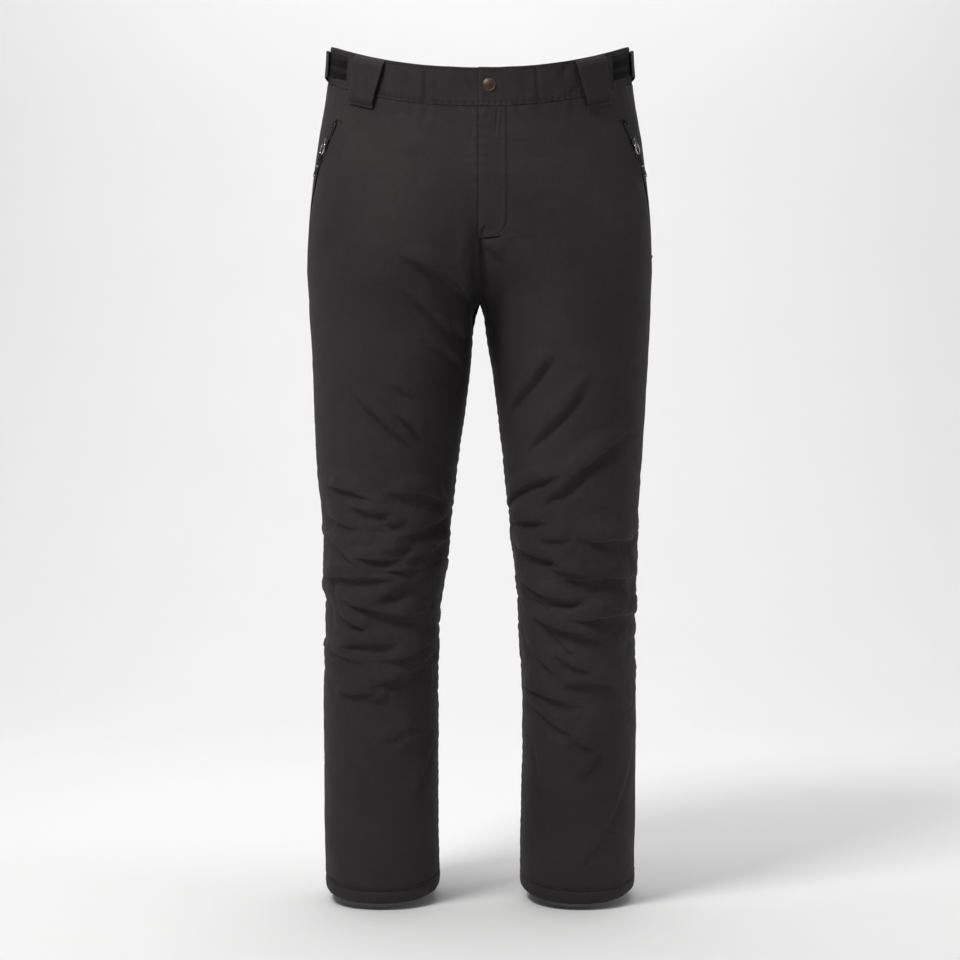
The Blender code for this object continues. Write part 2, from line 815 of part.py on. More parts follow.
def pull_mesh(name):
    """A flat pull with a narrow neck, whose tunnel holds the ring's wire."""
    neck = outline_mesh(
        name,
        [rectangle(-0.0023, 0.0060, -0.0016, 0.0016), rectangle(-0.0013, 0.0012, -0.0010, 0.0010)],
        0.0016,
        UPRIGHT,
    )
    tail = box_mesh(name + "_tail", (-0.003, 0.003), (0.0045, PULL_LENGTH), (-0.0012, 0.0012))
    return neck, tail


def united(piece, other_mesh):
    """Joins another mesh, in the piece's own frame, to the piece."""
    other = bpy.data.objects.new(other_mesh.name, other_mesh)
    bpy.data.collections["cutters"].objects.link(other)
    other.matrix_world = piece.matrix_world
    other.hide_render = True
    other.display_type = "WIRE"
    union = piece.modifiers.new("Union", "BOOLEAN")
    union.operation = "UNION"
    union.object = other
    bpy.context.view_layer.update()
    mesh = bpy.data.meshes.new_from_object(
        piece.evaluated_get(bpy.context.evaluated_depsgraph_get())
    )
    mesh.name = piece.name
    piece.modifiers.clear()
    piece.data = mesh
    bpy.data.objects.remove(other)
    return piece


def flipped(place):
    """The mirror image of a frame, which keeps X across, Y down and Z outwards."""
    flip = Matrix.Scale(-1, 4, (1, 0, 0))
    return flip @ place @ flip


def make_pocket_zip_strips():
    length = zip_length()
    tape = bent_strip("pocket_zip_tape_left", -0.004, length + 0.003, 0.0046, -0.0024, -0.0019, "tape")
    chain = bent_strip("pocket_zip_teeth_left", 0, length, ZIP_HALF, -0.0016, 0, "tape")
    both(tape)
    both(chain)


def make_pocket_pulls(side, turn):
    """The slider, its ring and the pull on the ring. turn takes a frame on the left to here."""
    at_slider = turn(pocket_frame(SLIDER_START))
    channel, bridge = slider_mesh("pocket_slider_" + side)
    united(add("pocket_slider_" + side, channel, "plastic", at_slider), bridge)
    hinge = at_slider @ Matrix.Translation((0, RING_START, RING_HEIGHT))
    ring = ring_mesh("pocket_ring_" + side)
    add("pocket_ring_" + side, ring, "steel", hinge)
    end = hinge @ Matrix.Translation((0, 2 * RING_HALF_LENGTH, 0))
    neck, tail = pull_mesh("pocket_pull_" + side)
    united(add("pocket_pull_" + side, neck, "tape", end), tail)


def hem_ring(name):
    """The turned-up hem, a ring whose lower edge is flat."""
    depth = 0.003
    count = 32
    rows = []
    for level, inset in ((HEM_TOP, 0), (HEM_END, 0), (HEM_END, depth), (HEM_TOP, depth)):
        outer, inner, _, _, centre_y, slope = section(level)
        row = []
        for i in range(count):
            point = on_skin(360 * i / count + 2, level)
            flat = Vector((point.x - (outer + inner) / 2, point.y - centre_y, 0))
            moved = point - flat.normalized() * inset
            moved.z = level + slope * (moved.y - centre_y)
            row.append(moved)
        rows.append(row)
    mesh = bpy.data.meshes.new(name)
    shape = bmesh.new()
    lines = [[shape.verts.new(point) for point in row] for row in rows]
    for k in range(4):
        upper, lower = lines[k], lines[(k + 1) % 4]
        for i in range(count):
            j = (i + 1) % count
            shape.faces.new((upper[i], lower[i], lower[j], upper[j]))
    bmesh.ops.recalc_face_normals(shape, faces=shape.faces)
    shape.to_mesh(mesh)
    shape.free()
    return add(name, mesh, "shell")


def tube(name, stops, inset, thickness, kind, columns=18):
    """A closed sleeve round the leg, inside its outer surface."""
    rows = [
        [proud(360 * i / columns + 2, level, -inset(level)) for i in range(columns)]
        for level in stops
    ]
    return thicken(add(name, grid_mesh(name, rows, closed=True), kind), thickness)


def gaiter_inset(level):
    t = (GAITER_TOP - level) / (GAITER_TOP - GAITER_END)
    return 0.0142 + 0.0078 * min(max(t, 0), 1)


def make_leg_ends():
    both(hem_ring("hem_left"))
    middle = (GAITER_TOP + GAITER_END) / 2
    stops = [GAITER_TOP, middle, GAITER_END]
    both(tube("gaiter_left", stops, gaiter_inset, 0.0008, "tape"))
    grip = [GAITER_END - 0.0008, GAITER_END - 0.020]
    both(tube("gaiter_elastic_left", grip, lambda level: 0.0220, 0.0014, "tape"))
    hook = [
        (0, 0.008), (0.0012, 0.008), (0.0012, -0.0045), (0.0042, -0.0045), (0.0042, 0.0),
        (0.0054, 0.0), (0.0054, -0.0060), (0, -0.0060),
    ]
    level = GAITER_END - 0.010
    place = frame_on(proud(90, level, -0.0214), Vector((0, 0, -1)), outward(90, level))
    turn = place @ Matrix(((0, 0, 1, 0), (0, -1, 0, 0), (1, 0, 0, 0), (0, 0, 0, 1)))
    both(add("gaiter_hook_left", outline_mesh("gaiter_hook_left", [hook], 0.004), "steel", turn))


def clear_scene():
    for obj in list(bpy.data.objects):
        bpy.data.objects.remove(obj)
    for name in ("ski_pants", "cutters"):
        made = bpy.data.collections.new(name)
        bpy.context.scene.collection.children.link(made)
    bpy.data.collections["cutters"].hide_render = True


def main():
    clear_scene()
    make_panels()
    make_right_front()
    make_lining()
    make_fly()
    make_belt_loops()
    make_adjusters()
    make_pocket_zip_strips()
    make_pocket_pulls("left", lambda place: place)
    make_pocket_pulls("right", flipped)
    make_leg_ends()


main()
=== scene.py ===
"""Insulated ski pants: cloth, stitching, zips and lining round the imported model."""

import math

import bmesh
import bpy
import numpy as np
from mathutils import Matrix, Vector


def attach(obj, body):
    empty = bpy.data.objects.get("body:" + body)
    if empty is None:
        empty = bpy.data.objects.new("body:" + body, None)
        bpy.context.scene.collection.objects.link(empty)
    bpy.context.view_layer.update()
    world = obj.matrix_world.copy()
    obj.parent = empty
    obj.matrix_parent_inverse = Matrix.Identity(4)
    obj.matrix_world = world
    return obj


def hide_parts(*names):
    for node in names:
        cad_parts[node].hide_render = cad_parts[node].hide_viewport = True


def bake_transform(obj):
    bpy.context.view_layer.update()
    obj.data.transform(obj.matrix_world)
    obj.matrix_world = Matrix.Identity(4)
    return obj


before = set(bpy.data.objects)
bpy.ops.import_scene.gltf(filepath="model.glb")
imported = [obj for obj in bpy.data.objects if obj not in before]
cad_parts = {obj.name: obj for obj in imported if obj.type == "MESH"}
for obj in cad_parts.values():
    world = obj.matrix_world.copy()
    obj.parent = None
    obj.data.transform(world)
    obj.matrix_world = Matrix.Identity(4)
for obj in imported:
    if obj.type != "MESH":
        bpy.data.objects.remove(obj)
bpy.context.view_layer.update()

# The garment's shape, as in the CAD, in metres. A place on it is an angle round the section and a
# level: 90 is the front, 180 the outer side, 270 the back and 0 the inseam.
# Each row of SECTIONS is a level, the leg's outer and inner x, its depth in front and behind, the
# middle's y and how much the section slopes down towards the front.
SECTIONS = np.array(
    (
        (0.0, 0.181, -0.181, 0.127, 0.122, 0.0, 0.0),
        (-0.045, 0.184, -0.184, 0.128, 0.130, 0.0, 0.0),
        (-0.12, 0.196, -0.188, 0.132, 0.148, 0.0, 0.0),
        (-0.17, 0.2025, -0.162, 0.1335, 0.157, 0.0, 0.0),
        (-0.22, 0.2065, -0.100, 0.1325, 0.159, 0.0, 0.0),
        (-0.265, 0.2078, -0.050, 0.129, 0.1545, 0.0, 0.0),
        (-0.311, 0.2062, 0.0008, 0.1235, 0.1445, 0.0, 0.0),
        (-0.36, 0.2035, 0.0118, 0.1175, 0.135, 0.0, 0.0),
        (-0.475, 0.1975, 0.026, 0.105, 0.112, -0.002, 0.0),
        (-0.59, 0.190, 0.037, 0.096, 0.093, -0.005, 0.0),
        (-0.70, 0.1885, 0.048, 0.090, 0.086, -0.002, 0.02),
        (-0.82, 0.1895, 0.0515, 0.084, 0.088, 0.010, 0.08),
        (-1.02, 0.188, 0.0495, 0.080, 0.090, 0.030, 0.137),
    )
)
ROUNDNESS = 2.15
FRONT_DIP, DIP_POWER, BACK_RISE, DIP_FADE = 0.0505, 1.65, 0.004, -0.21
SIDE_SEAM, BAND_JOIN = 188.0, 195.0

# The waist: the band, its rows of stitches, the belt loops, the straps and the snap.
BAND, BAND_THICK, BACK_WIDTH = 0.045, 0.0022, 0.47
BAND_ROWS = ((-0.0405, "foot"), (-0.0035, "top"))
LOOP_TOP, LOOP_END = -0.0015, -0.0605
STRAP_TOP, STRAP_END = -0.005, -0.036
STRAP_FRONT, STRAP_BACK = 166.0, 222.0
SNAP_X, SNAP_LEVEL = 0.0103, -0.0205

# The fly: where its edge starts to turn, its end, its flap and its zip behind that.
FLY_TURN, FLY_END, FLY_CORNER = -0.218, -0.2445, 3.0
FLY_WIDTH, FLY_EDGE = 0.0385, -0.0014
FLY_ZIP_X, FLY_CHAIN_DEPTH = 0.008, 0.0052
FLY_CHAIN_TOP, FLY_CHAIN_END = -0.052, -0.208
FLY_TAPE_TOP, FLY_TAPE_END = -0.050, -0.236
J_STITCH = 0.0080

# The pocket zips: the ends and bulge of their line, and the slider, ring and tape on it.
POCKET_TOP = np.array((0.1735, -0.0640, -0.105))
POCKET_FOOT = np.array((0.2070, -0.0060, -0.252))
POCKET_SIDE, POCKET_BULGE = 166.0, 0.0068
POCKET_TOP_LEVEL, POCKET_END = -0.0880, -0.262
ZIP_ROOM = 0.0037
SLIDER_START = 0.0225
SLIDER_TILT = math.radians(12)
RING_HALF_WIDTH, RING_HALF_LENGTH = 0.0046, 0.0066
TAPE_HALF_WIDTH, COIL_PITCH = 0.0046, 0.00062
STRAND_LENGTH, GRIP_START, GRIP_LENGTH = 0.0155, 0.0125, 0.0162
BAG_TOP, BAG_END, BAG_START, BAG_TURN = -0.085, -0.262, -34, 31.8

# The legs: hem, lining and gaiter, and the outer fabric's cut edges and folds.
HEM_TOP, HEM_COLUMNS = -0.996, 260
LINING_TOP, LINING_END = -0.049, -0.985
LINING_DEPTH, LINING_THICK = 0.0078, 0.0016
QUILT_HEIGHT, QUILT_WIDTH = 0.075, 0.085
GAITER_TOP, GAITER_END = -0.85, -0.982
GAITER_COLUMNS = 240
PANEL_COLUMNS, SIDE_COLUMNS, TURN_IN = 122, 26, 0.0015
FOLD_DEPTH = 0.0070
REACH = 0.62  # half of a fold's length, with the part where it fades out

# Folds of the front of each leg, as seen from the front, in millimetres: x and z of the middle,
# length, slope in degrees, how far the line arches upwards, and depth, where 1 is an ordinary fold.
FRONT_FOLDS = {
    -1: (
        (-55, -293, 85, -30, 6, 1.0), (-60, -328, 60, -38, 0, 0.8), (-27, -346, 22, -50, 0, 0.7),
        (-45, -375, 50, -35, 0, 0.5), (-110, -452, 95, -43, -5, 0.8), (-80, -461, 45, -40, 0, 0.8),
        (-90, -420, 35, -25, 0, 0.4), (-150, -540, 50, -17, 8, 0.9), (-126, -557, 47, -6, 0, 0.9),
        (-77, -552, 67, -15, 15, 0.9), (-97, -570, 24, 12, 0, 0.6), (-70, -578, 58, 25, 3, 1.2),
        (-95, -600, 36, 12, 0, 0.9), (-116, -613, 54, 0, 0, 1.0), (-65, -603, 56, 29, 3, 1.2),
        (-89, -625, 36, 10, 0, 0.9), (-138, -638, 80, 0, 4, 1.2), (-97, -648, 62, 31, 3, 1.3),
        (-114, -667, 88, -10, -8, 1.2), (-160, -571, 40, -22, 0, 0.6),
        (-153, -610, 62, -40, 2, 0.6), (-147, -688, 36, -28, 0, 0.8), (-130, -716, 66, 5, 5, 1.1),
        (-154, -729, 44, -19, 0, 0.6), (-86, -714, 73, 28, -4, 1.3), (-93, -738, 90, 31, -3, 1.3),
        (-142, -770, 45, 3, 0, 0.8), (-116, -775, 26, 25, 0, 0.7), (-96, -817, 44, 28, 0, 0.5),
        (-86, -831, 28, 45, 0, 0.5), (-71, -862, 80, 69, 0, 0.6),
    ),
    1: (
        (12, -262, 26, -40, 4, 0.8), (63, -410, 80, 53, 0, 0.9), (93, -445, 102, 50, -2, 0.9),
        (122, -510, 114, 42, 6, 1.4), (71, -535, 72, 31, 5, 1.0), (58, -572, 40, -2, 3, 1.0),
        (87, -591, 30, 2, 0, 0.6), (147, -590, 62, 0, -2, 0.9), (71, -612, 53, -21, 3, 1.1),
        (103, -630, 40, -3, 2, 0.9), (136, -643, 94, -1, 8, 1.4), (88, -652, 72, -19, -4, 1.2),
        (70, -665, 29, -34, 0, 0.8), (143, -684, 80, 2, 4, 1.4), (104, -698, 82, -18, 3, 1.2),
        (93, -710, 48, -39, 1, 0.9), (108, -735, 44, -24, 0, 1.0), (129, -767, 60, -1, 11, 1.1),
        (86, -777, 60, -19, 3, 1.0), (85, -798, 70, -39, 0, 0.8), (119, -832, 31, -27, 0, 0.7),
        (129, -857, 42, 46, 0, 0.5), (145, -920, 146, 64, 0, 0.4), (72, -728, 53, -51, 0, 0.6),
        (71, -870, 62, -79, 0, 0.5),
    ),
}
# Folds of each leg's side and back: distance round from the outer side towards the back, z,
# length, slope, arch and depth. The knee's hollow gathers more than its front.
BACK_FOLDS = {
    -1: (
        (60, -345, 110, 35, 6, 0.7), (140, -318, 120, 22, 4, 0.9), (175, -362, 100, 28, 0, 0.7),
        (20, -505, 80, 24, 0, 0.6), (120, -530, 110, -12, 6, 0.9), (70, -565, 90, 14, 4, 1.1),
        (175, -575, 80, 18, -4, 1.1), (15, -595, 60, -14, 3, 0.8), (110, -598, 130, -6, -5, 1.4),
        (60, -630, 100, 10, 4, 1.3), (165, -635, 110, 12, 5, 1.3), (15, -655, 70, 6, 3, 1.0),
        (120, -668, 120, -9, 4, 1.4), (55, -700, 90, 15, -3, 1.2), (170, -705, 90, -16, 3, 1.1),
        (10, -725, 60, -10, 0, 0.8), (115, -742, 110, 9, 5, 1.1), (60, -785, 80, -12, 3, 0.8),
        (150, -800, 90, 20, 0, 0.7), (90, -880, 110, 62, 0, 0.4),
    ),
    1: (
        (70, -330, 120, 28, 6, 0.8), (150, -345, 120, 32, 3, 0.8), (35, -470, 90, -30, 0, 0.6),
        (130, -515, 100, 16, 5, 0.8), (60, -548, 100, -10, 4, 1.0), (170, -562, 90, -15, -4, 1.1),
        (10, -585, 60, 10, 3, 0.9), (105, -592, 120, 8, 5, 1.4), (45, -625, 90, -8, 4, 1.2),
        (160, -628, 120, -11, 4, 1.4), (95, -662, 130, 7, -5, 1.4), (15, -672, 70, -4, 0, 1.0),
        (175, -690, 80, 16, 4, 1.1), (60, -705, 110, -14, 3, 1.2), (130, -735, 110, 10, 4, 1.1),
        (20, -755, 60, 14, 0, 0.8), (90, -790, 90, -18, 3, 0.8), (165, -815, 80, 22, 0, 0.7),
        (50, -890, 120, -60, 0, 0.4),
    ),
}


def smooth(t):
    t = np.clip(t, 0, 1)
    return t * t * (3 - 2 * t)


def bell(distance, width):
    """1 at no distance, falling off smoothly over the width."""
    return np.exp(-((distance / width) ** 2))


def monotone_slopes(x, y):
    """Slopes at the points of a curve that never overshoots them."""
    rise = np.diff(y) / np.diff(x)
    slopes = np.zeros_like(y)
    slopes[0], slopes[-1] = rise[0], rise[-1]
    for i in range(1, len(y) - 1):
        before, after = rise[i - 1], rise[i]
        if before * after > 0:
            slopes[i] = 2 * before * after / (before + after)
    return slopes


DEPTHS = -SECTIONS[:, 0]
SLOPES = [monotone_slopes(DEPTHS, column) for column in SECTIONS.T[1:]]


def section(level):
    """Outer x, inner x, front depth, back depth, centre y and slope at each level."""
    depth = np.clip(-np.asarray(level, float), DEPTHS[0], DEPTHS[-1])
    i = np.clip(np.searchsorted(DEPTHS, depth, side="right") - 1, 0, len(DEPTHS) - 2)
    span = DEPTHS[i + 1] - DEPTHS[i]
    t = (depth - DEPTHS[i]) / span
    return [
        (2 * t**3 - 3 * t**2 + 1) * column[i]
        + (t**3 - 2 * t**2 + t) * span * slopes[i]
        + (3 * t**2 - 2 * t**3) * column[i + 1]
        + (t**3 - t**2) * span * slopes[i + 1]
        for column, slopes in zip(SECTIONS.T[1:], SLOPES)
    ]


def signed_power(value, power):
    return np.sign(value) * np.abs(value) ** power


def waist_dip(y, front, back, level):
    """How far the waist drops in front and rises behind, fading out down the hips."""
    fade = smooth((np.asarray(level) - DIP_FADE) / (-BAND - DIP_FADE))
    ahead = -FRONT_DIP * np.abs(np.minimum(y, 0) / front) ** DIP_POWER
    behind = BACK_RISE * (np.maximum(y, 0) / back) ** 2
    return (ahead + behind) * fade


def on_skin(angle, level):
    """The outer surface's points at these angles and levels, on the wearer's left side."""
    outer, inner, front, back, centre_y, slope = section(level)
    turn = np.radians(angle)
    x = (outer + inner) / 2 - (outer - inner) / 2 * signed_power(np.cos(turn), 2 / ROUNDNESS)
    round_y = signed_power(np.sin(turn), 2 / ROUNDNESS)
    y = -np.where(round_y > 0, front, back) * round_y
    z = level + waist_dip(y, front, back, level) + slope * y
    return np.stack(np.broadcast_arrays(x, y + centre_y, z), -1)


def unit(vectors):
    return vectors / np.maximum(np.linalg.norm(vectors, axis=-1, keepdims=True), 1e-12)


def outward(angle, level):
    """The outer surface's outward directions, of length 1."""
    round_way = on_skin(angle + 0.5, level) - on_skin(angle - 0.5, level)
    down_way = on_skin(angle, level - 0.001) - on_skin(angle, level + 0.001)
    return unit(np.cross(down_way, round_way))


def angle_at_x(x, level):
    """The angle, over the front, at which the surface is this far from the middle."""
    outer, inner = section(level)[:2]
    across = np.clip(((outer + inner) / 2 - x) / ((outer - inner) / 2), -1, 1)
    return np.degrees(np.arccos(signed_power(across, ROUNDNESS / 2)))


def degrees_for(width, level, angle):
    """The turn that a width round the surface takes up there."""
    step = on_skin(angle + 0.5, level) - on_skin(angle - 0.5, level)
    return width / np.linalg.norm(step, axis=-1)


def skin_grid(angles, levels):
    """Points and outward directions of the outer surface for rows of angles."""
    level = np.broadcast_to(levels[:, None], angles.shape)
    return on_skin(angles, level), outward(angles, level)


def edge_at(x):
    """A strip's edge that stands at this distance from the middle, as a function of level."""
    return lambda level: angle_at_x(x, level)


def weave_of(along, up, edge=0.0):
    """A point's place in its cloth, with its nearness to an edge, where the colour is paler."""
    return np.stack(np.broadcast_arrays(along, up, edge), -1)


FULL_TURN = np.linspace(0, 360, 361)


def arc(angles, levels):
    """Distance round the section from the outer side, forwards negative, for rows of angles."""
    points = on_skin(FULL_TURN[None], levels[:, None])
    steps = np.linalg.norm(np.diff(points[..., :2], axis=1), axis=-1)
    run = np.concatenate([np.zeros((len(levels), 1)), np.cumsum(steps, axis=1)], axis=1)
    run -= run[:, 180:181]
    return np.array([np.interp(a, FULL_TURN, row) for a, row in zip(angles, run)])


def inner_edge(level):
    """The angle of the inseam or, above the crotch, of the middle."""
    return np.maximum(angle_at_x(0.0001, level), 0.02)


def fly_edge(level, width=FLY_WIDTH, end=FLY_END):
    """The flap's outer edge: straight down, then round to the middle at its end."""
    drop = np.clip((FLY_TURN - level) / (FLY_TURN - end), 0, 1)
    return np.maximum(width * (1 - drop**FLY_CORNER) ** (1 / FLY_CORNER), 0.0001)


def pocket_arc():
    """Centre, radius and directions of the zip's line, an arc from its top to its foot."""
    chord = POCKET_FOOT - POCKET_TOP
    down = unit(chord)
    out = outward(POCKET_SIDE, (POCKET_TOP[2] + POCKET_FOOT[2]) / 2)
    out = unit(out - out.dot(down) * down)
    half = np.linalg.norm(chord) / 2
    radius = (half**2 + POCKET_BULGE**2) / (2 * POCKET_BULGE)
    middle = (POCKET_TOP + POCKET_FOOT) / 2
    return middle + (POCKET_BULGE - radius) * out, radius, down, out, np.cross(down, out)


POCKET_ARC = pocket_arc()
HALF_CHORD = np.linalg.norm(POCKET_FOOT - POCKET_TOP) / 2
ZIP_LENGTH = 2 * POCKET_ARC[1] * math.asin(HALF_CHORD / POCKET_ARC[1])


def zip_frame(along):
    """Points, outward directions and across direction of the left pocket's zip."""
    centre, radius, down, out, sideways = POCKET_ARC
    turn = np.asarray(along) / radius - math.asin(HALF_CHORD / radius)
    spoke = np.cos(turn)[..., None] * out + np.sin(turn)[..., None] * down
    return centre + radius * spoke, spoke, sideways


def pocket_places():
    """Levels and angles of the zip's line, carried on past both its ends."""
    points = zip_frame(np.linspace(-0.10, 0.24, 300))[0]
    level = points[:, 2].copy()
    for _ in range(20):
        _, _, front, back, _, _ = section(level)
        level = points[:, 2] - waist_dip(points[:, 1], front, back, level)
    outer, inner, front, back, _, _ = section(level)
    depth = np.where(points[:, 1] < 0, front, back)
    along_y = np.abs(points[:, 1] / depth) ** (ROUNDNESS / 2)
    across = ((points[:, 0] - (outer + inner) / 2) / ((outer - inner) / 2)) ** (ROUNDNESS / 2)
    turn = np.degrees(np.arctan2(along_y, across))
    angle = np.where(points[:, 1] < 0, 180 - turn, 180 + turn)
    order = np.argsort(level)
    return level[order], angle[order]


POCKET_LEVELS, POCKET_ANGLES = pocket_places()


def pocket_angle(level):
    return np.interp(level, POCKET_LEVELS, POCKET_ANGLES)


LATTICES = [np.random.RandomState(seed).rand(24, 24, 24) * 2 - 1 for seed in range(9)]


def noise(points, size, seed):
    """Smooth noise from -1 to 1, with features of this size."""
    grid = LATTICES[seed]
    place = points / size + 100.37
    cell = np.floor(place).astype(int)
    part = smooth(place - cell)
    total = 0
    for corner in range(8):
        step = np.array([(corner >> k) & 1 for k in range(3)])
        weight = np.prod(np.where(step, part, 1 - part), axis=-1)
        i, j, k = np.moveaxis((cell + step) % 24, -1, 0)
        total = total + weight * grid[i, j, k]
    return total


def soft_limit(values, lowest, highest):
    """Keeps heights between two limits, bending over gently close to them."""
    limit = np.where(values < 0, lowest, highest)
    return limit * np.tanh(values / limit)


def folds_of(side):
    """Each fold's two ends in distance round and z, its arch and its depth."""
    found = []
    for x, z, length, slope, arch, depth in FRONT_FOLDS[side]:
        x, z, half = x / 1000, z / 1000, length / 1000 * REACH
        ends = []
        for way in (-1, 1):
            end_x = x + way * half * math.cos(math.radians(slope))
            end_z = z + way * half * math.sin(math.radians(slope))
            angle = angle_at_x(abs(end_x), end_z)
            ends.append((float(arc([[angle]], np.array([end_z]))[0, 0]), end_z))
        found.append((*sorted(ends), arch / 1000, depth))
    for place, z, length, slope, arch, depth in BACK_FOLDS[side]:
        place, z, half = place / 1000, z / 1000, length / 1000 * REACH
        run = half * math.cos(math.radians(slope))
        rise = half * math.sin(math.radians(slope))
        found.append(((place - run, z - rise), (place + run, z + rise), arch / 1000, depth))
    return found


FOLDS = {side: folds_of(side) for side in (-1, 1)}


def fold_relief(side, round_way, z, wobble):
    """Height, and push round and up, that the folds give each point.

    Each fold bulges over its crease on the upper side and falls back below it.
    """
    height = np.zeros_like(z)
    push_round, push_up = np.zeros_like(z), np.zeros_like(z)
    for (q0, z0), (q1, z1), arch, depth in FOLDS[side]:
        length = math.hypot(q1 - q0, z1 - z0)
        u, v = (q1 - q0) / length, (z1 - z0) / length
        along = ((round_way - q0) * u + (z - z0) * v) / length
        across = -(round_way - q0) * v + (z - z0) * u - arch * 4 * along * (1 - along)
        near = (along > 0) & (along < 1) & (np.abs(across) < 0.045)
        if not near.any():
            continue
        t, d = along[near], across[near] + wobble[near]
        ends = smooth(np.minimum(t, 1 - t) / 0.32)
        wide = (0.0034 + 0.0024 * depth) * (0.6 + 0.4 * ends)
        size = FOLD_DEPTH * depth * ends
        ridge = bell(d - 1.5 * wide, 1.7 * wide)
        dip = bell(d + 1.1 * wide, 1.4 * wide)
        step = np.tanh(d / (0.20 * wide)) * np.exp(-np.abs(d) / (1.5 * wide))
        height[near] += size * (0.40 * (ridge - dip) + 0.46 * step)
        lean = 0.30 * size * bell(d - 0.6 * wide, 0.8 * wide)
        push_round[near] += lean * v
        push_up[near] -= lean * u
    return height, push_round, push_up


def creases(spot, size, seed):
    """Sharp valleys along wandering lines, from 0 to 1."""
    return np.maximum(1 - 2.2 * np.abs(noise(spot, size, seed)), 0) ** 2.5


def seam_distance(angles, levels):
    """Distance round from the outer side, and to the nearest lengthwise seam of the fabric."""
    here = arc(angles, levels)
    edges = [SIDE_SEAM + 0 * levels, inner_edge(levels), 360 - inner_edge(levels)]
    away = [np.abs(here - arc(edge[:, None], levels)) for edge in edges]
    return here, np.minimum(np.minimum(away[0], away[1]), away[2])


def crotch_relief(side, x, level):
    """Below the fly the right panel rolls in to the seam, and the left one stands close to it."""
    if side > 0:
        ridge = 0.0015 * bell(x - 0.010, 0.006)
        return smooth((-0.232 - level) / 0.028) * (ridge - 0.0062 * bell(x, 0.0042))
    ridge = 0.0042 * bell(x - 0.0185, 0.0085)
    return smooth((-0.222 - level) / 0.036) * (ridge - 0.0062 * bell(x, 0.0085))


def crumple(spot, z):
    """Height of the cloth's broad swells, small waves and creases, strongest at the knee."""
    knee = bell(z + 0.66, 0.13)
    calm = smooth((-0.05 - z) / 0.05)
    height = (0.0011 + 0.0007 * knee) * noise(spot * (1, 1, 0.75), 0.085, 0) * calm
    height += (0.0004 + 0.0012 * knee) * noise(spot * (0.6, 0.6, 1.25), 0.036, 1) * calm
    height += (0.00022 + 0.0006 * knee) * noise(spot * (0.5, 0.5, 1.4), 0.017, 2)
    rumple = (0.10 + 0.90 * knee) * calm
    height -= 0.0020 * rumple * creases(spot * (0.55, 0.55, 1.3) + 0.3, 0.052, 6)
    height -= 0.0012 * rumple * creases(spot * (0.8, 0.8, 1.3) + 0.7, 0.026, 5)
    return height - 0.0006 * rumple * creases(spot * (0.7, 0.7, 1.4) + 0.1, 0.015, 4)


def sewn_relief(spot, here, seam, angles):
    """Puckers along the seams, and gathers under the waistband."""
    z = spot[..., 2]
    pucker = np.sin(z / 0.0019 + 2.5 * noise(spot, 0.03, 3)) * (0.6 + 0.4 * noise(spot, 0.02, 4))
    height = 0.0008 * pucker * np.exp(-seam / 0.007) * smooth(seam / 0.0015)
    tuck = bell(z - band_seam(spot), 0.016)
    gather = np.sin(here / 0.0034 + 3 * noise(spot, 0.03, 5)) * (0.5 + 0.5 * noise(spot, 0.03, 6))
    return height + (0.0009 + 0.0006 * (angles > 205)) * gather * tuck


def near_middle(x, level):
    """From 0 to 1, how near a point is to where the two legs' halves meet."""
    return np.exp(-np.maximum(x, 0) / 0.006) * smooth((0.006 - section(level)[1]) / 0.006)


def cloth_surface(side, angles, levels, sew=True):
    """Points and normals of the outer fabric, with its folds, for rows of angles.

    Also gives each point's place in the cloth: distance round, z, and nearness of an edge.
    """
    level = np.broadcast_to(levels[:, None], angles.shape)
    base, normal = on_skin(angles, level), outward(angles, level)
    here, seam = seam_distance(angles, levels)
    z = base[..., 2]
    spot = base * np.array((side, 1, 1))
    wobble = 0.0016 * noise(spot, 0.021, 7) + 0.0006 * noise(spot, 0.008, 8)
    height, push_round, push_up = fold_relief(side, here, z, wobble)
    facing = 0.48 + 0.52 * smooth((np.abs(normal[..., 1]) + 0.05) / 0.95)
    height, push_up = height * facing, push_up * facing
    height += crumple(spot, z) + sewn_relief(spot, here, seam, angles)
    height += crotch_relief(side, base[..., 0], level) * (angles < 90)
    if sew:
        height += 0.0007 * bell(seam - 0.0042, 0.0022) - 0.0013 * bell(seam, 0.0016)
    height = soft_limit(height, 0.0066, 0.0090)
    round_dir = unit(on_skin(angles + 0.5, level) - on_skin(angles - 0.5, level))
    up_dir = unit(np.cross(normal, round_dir))
    up_dir = up_dir * np.sign(up_dir[..., 2:3])
    points = base + normal * height[..., None]
    points += round_dir * push_round[..., None] + up_dir * push_up[..., None]
    points[..., 0] += (base[..., 0] - 0.0003 - points[..., 0]) * near_middle(base[..., 0], level)
    return points, normal, weave_of(here * side, z, np.exp(-seam / 0.004))


def band_seam(spot):
    """The height of the seam under the waistband, at points of the garment."""
    return -BAND - FRONT_DIP * np.clip(-spot[..., 1] / 0.128, 0, 1) ** DIP_POWER


# ---- meshes -------------------------------------------------------------------------------


def grid_faces(rows, columns, closed=False, first=0):
    """Quads over rows of points, whose ends join where the rows are closed."""
    r, c = np.meshgrid(
        np.arange(rows - 1), np.arange(columns if closed else columns - 1), indexing="ij"
    )
    n = (c + 1) % columns
    a, b = first + r * columns, first + (r + 1) * columns
    return np.stack([a + c, b + c, b + n, a + n], -1).reshape(-1, 4)


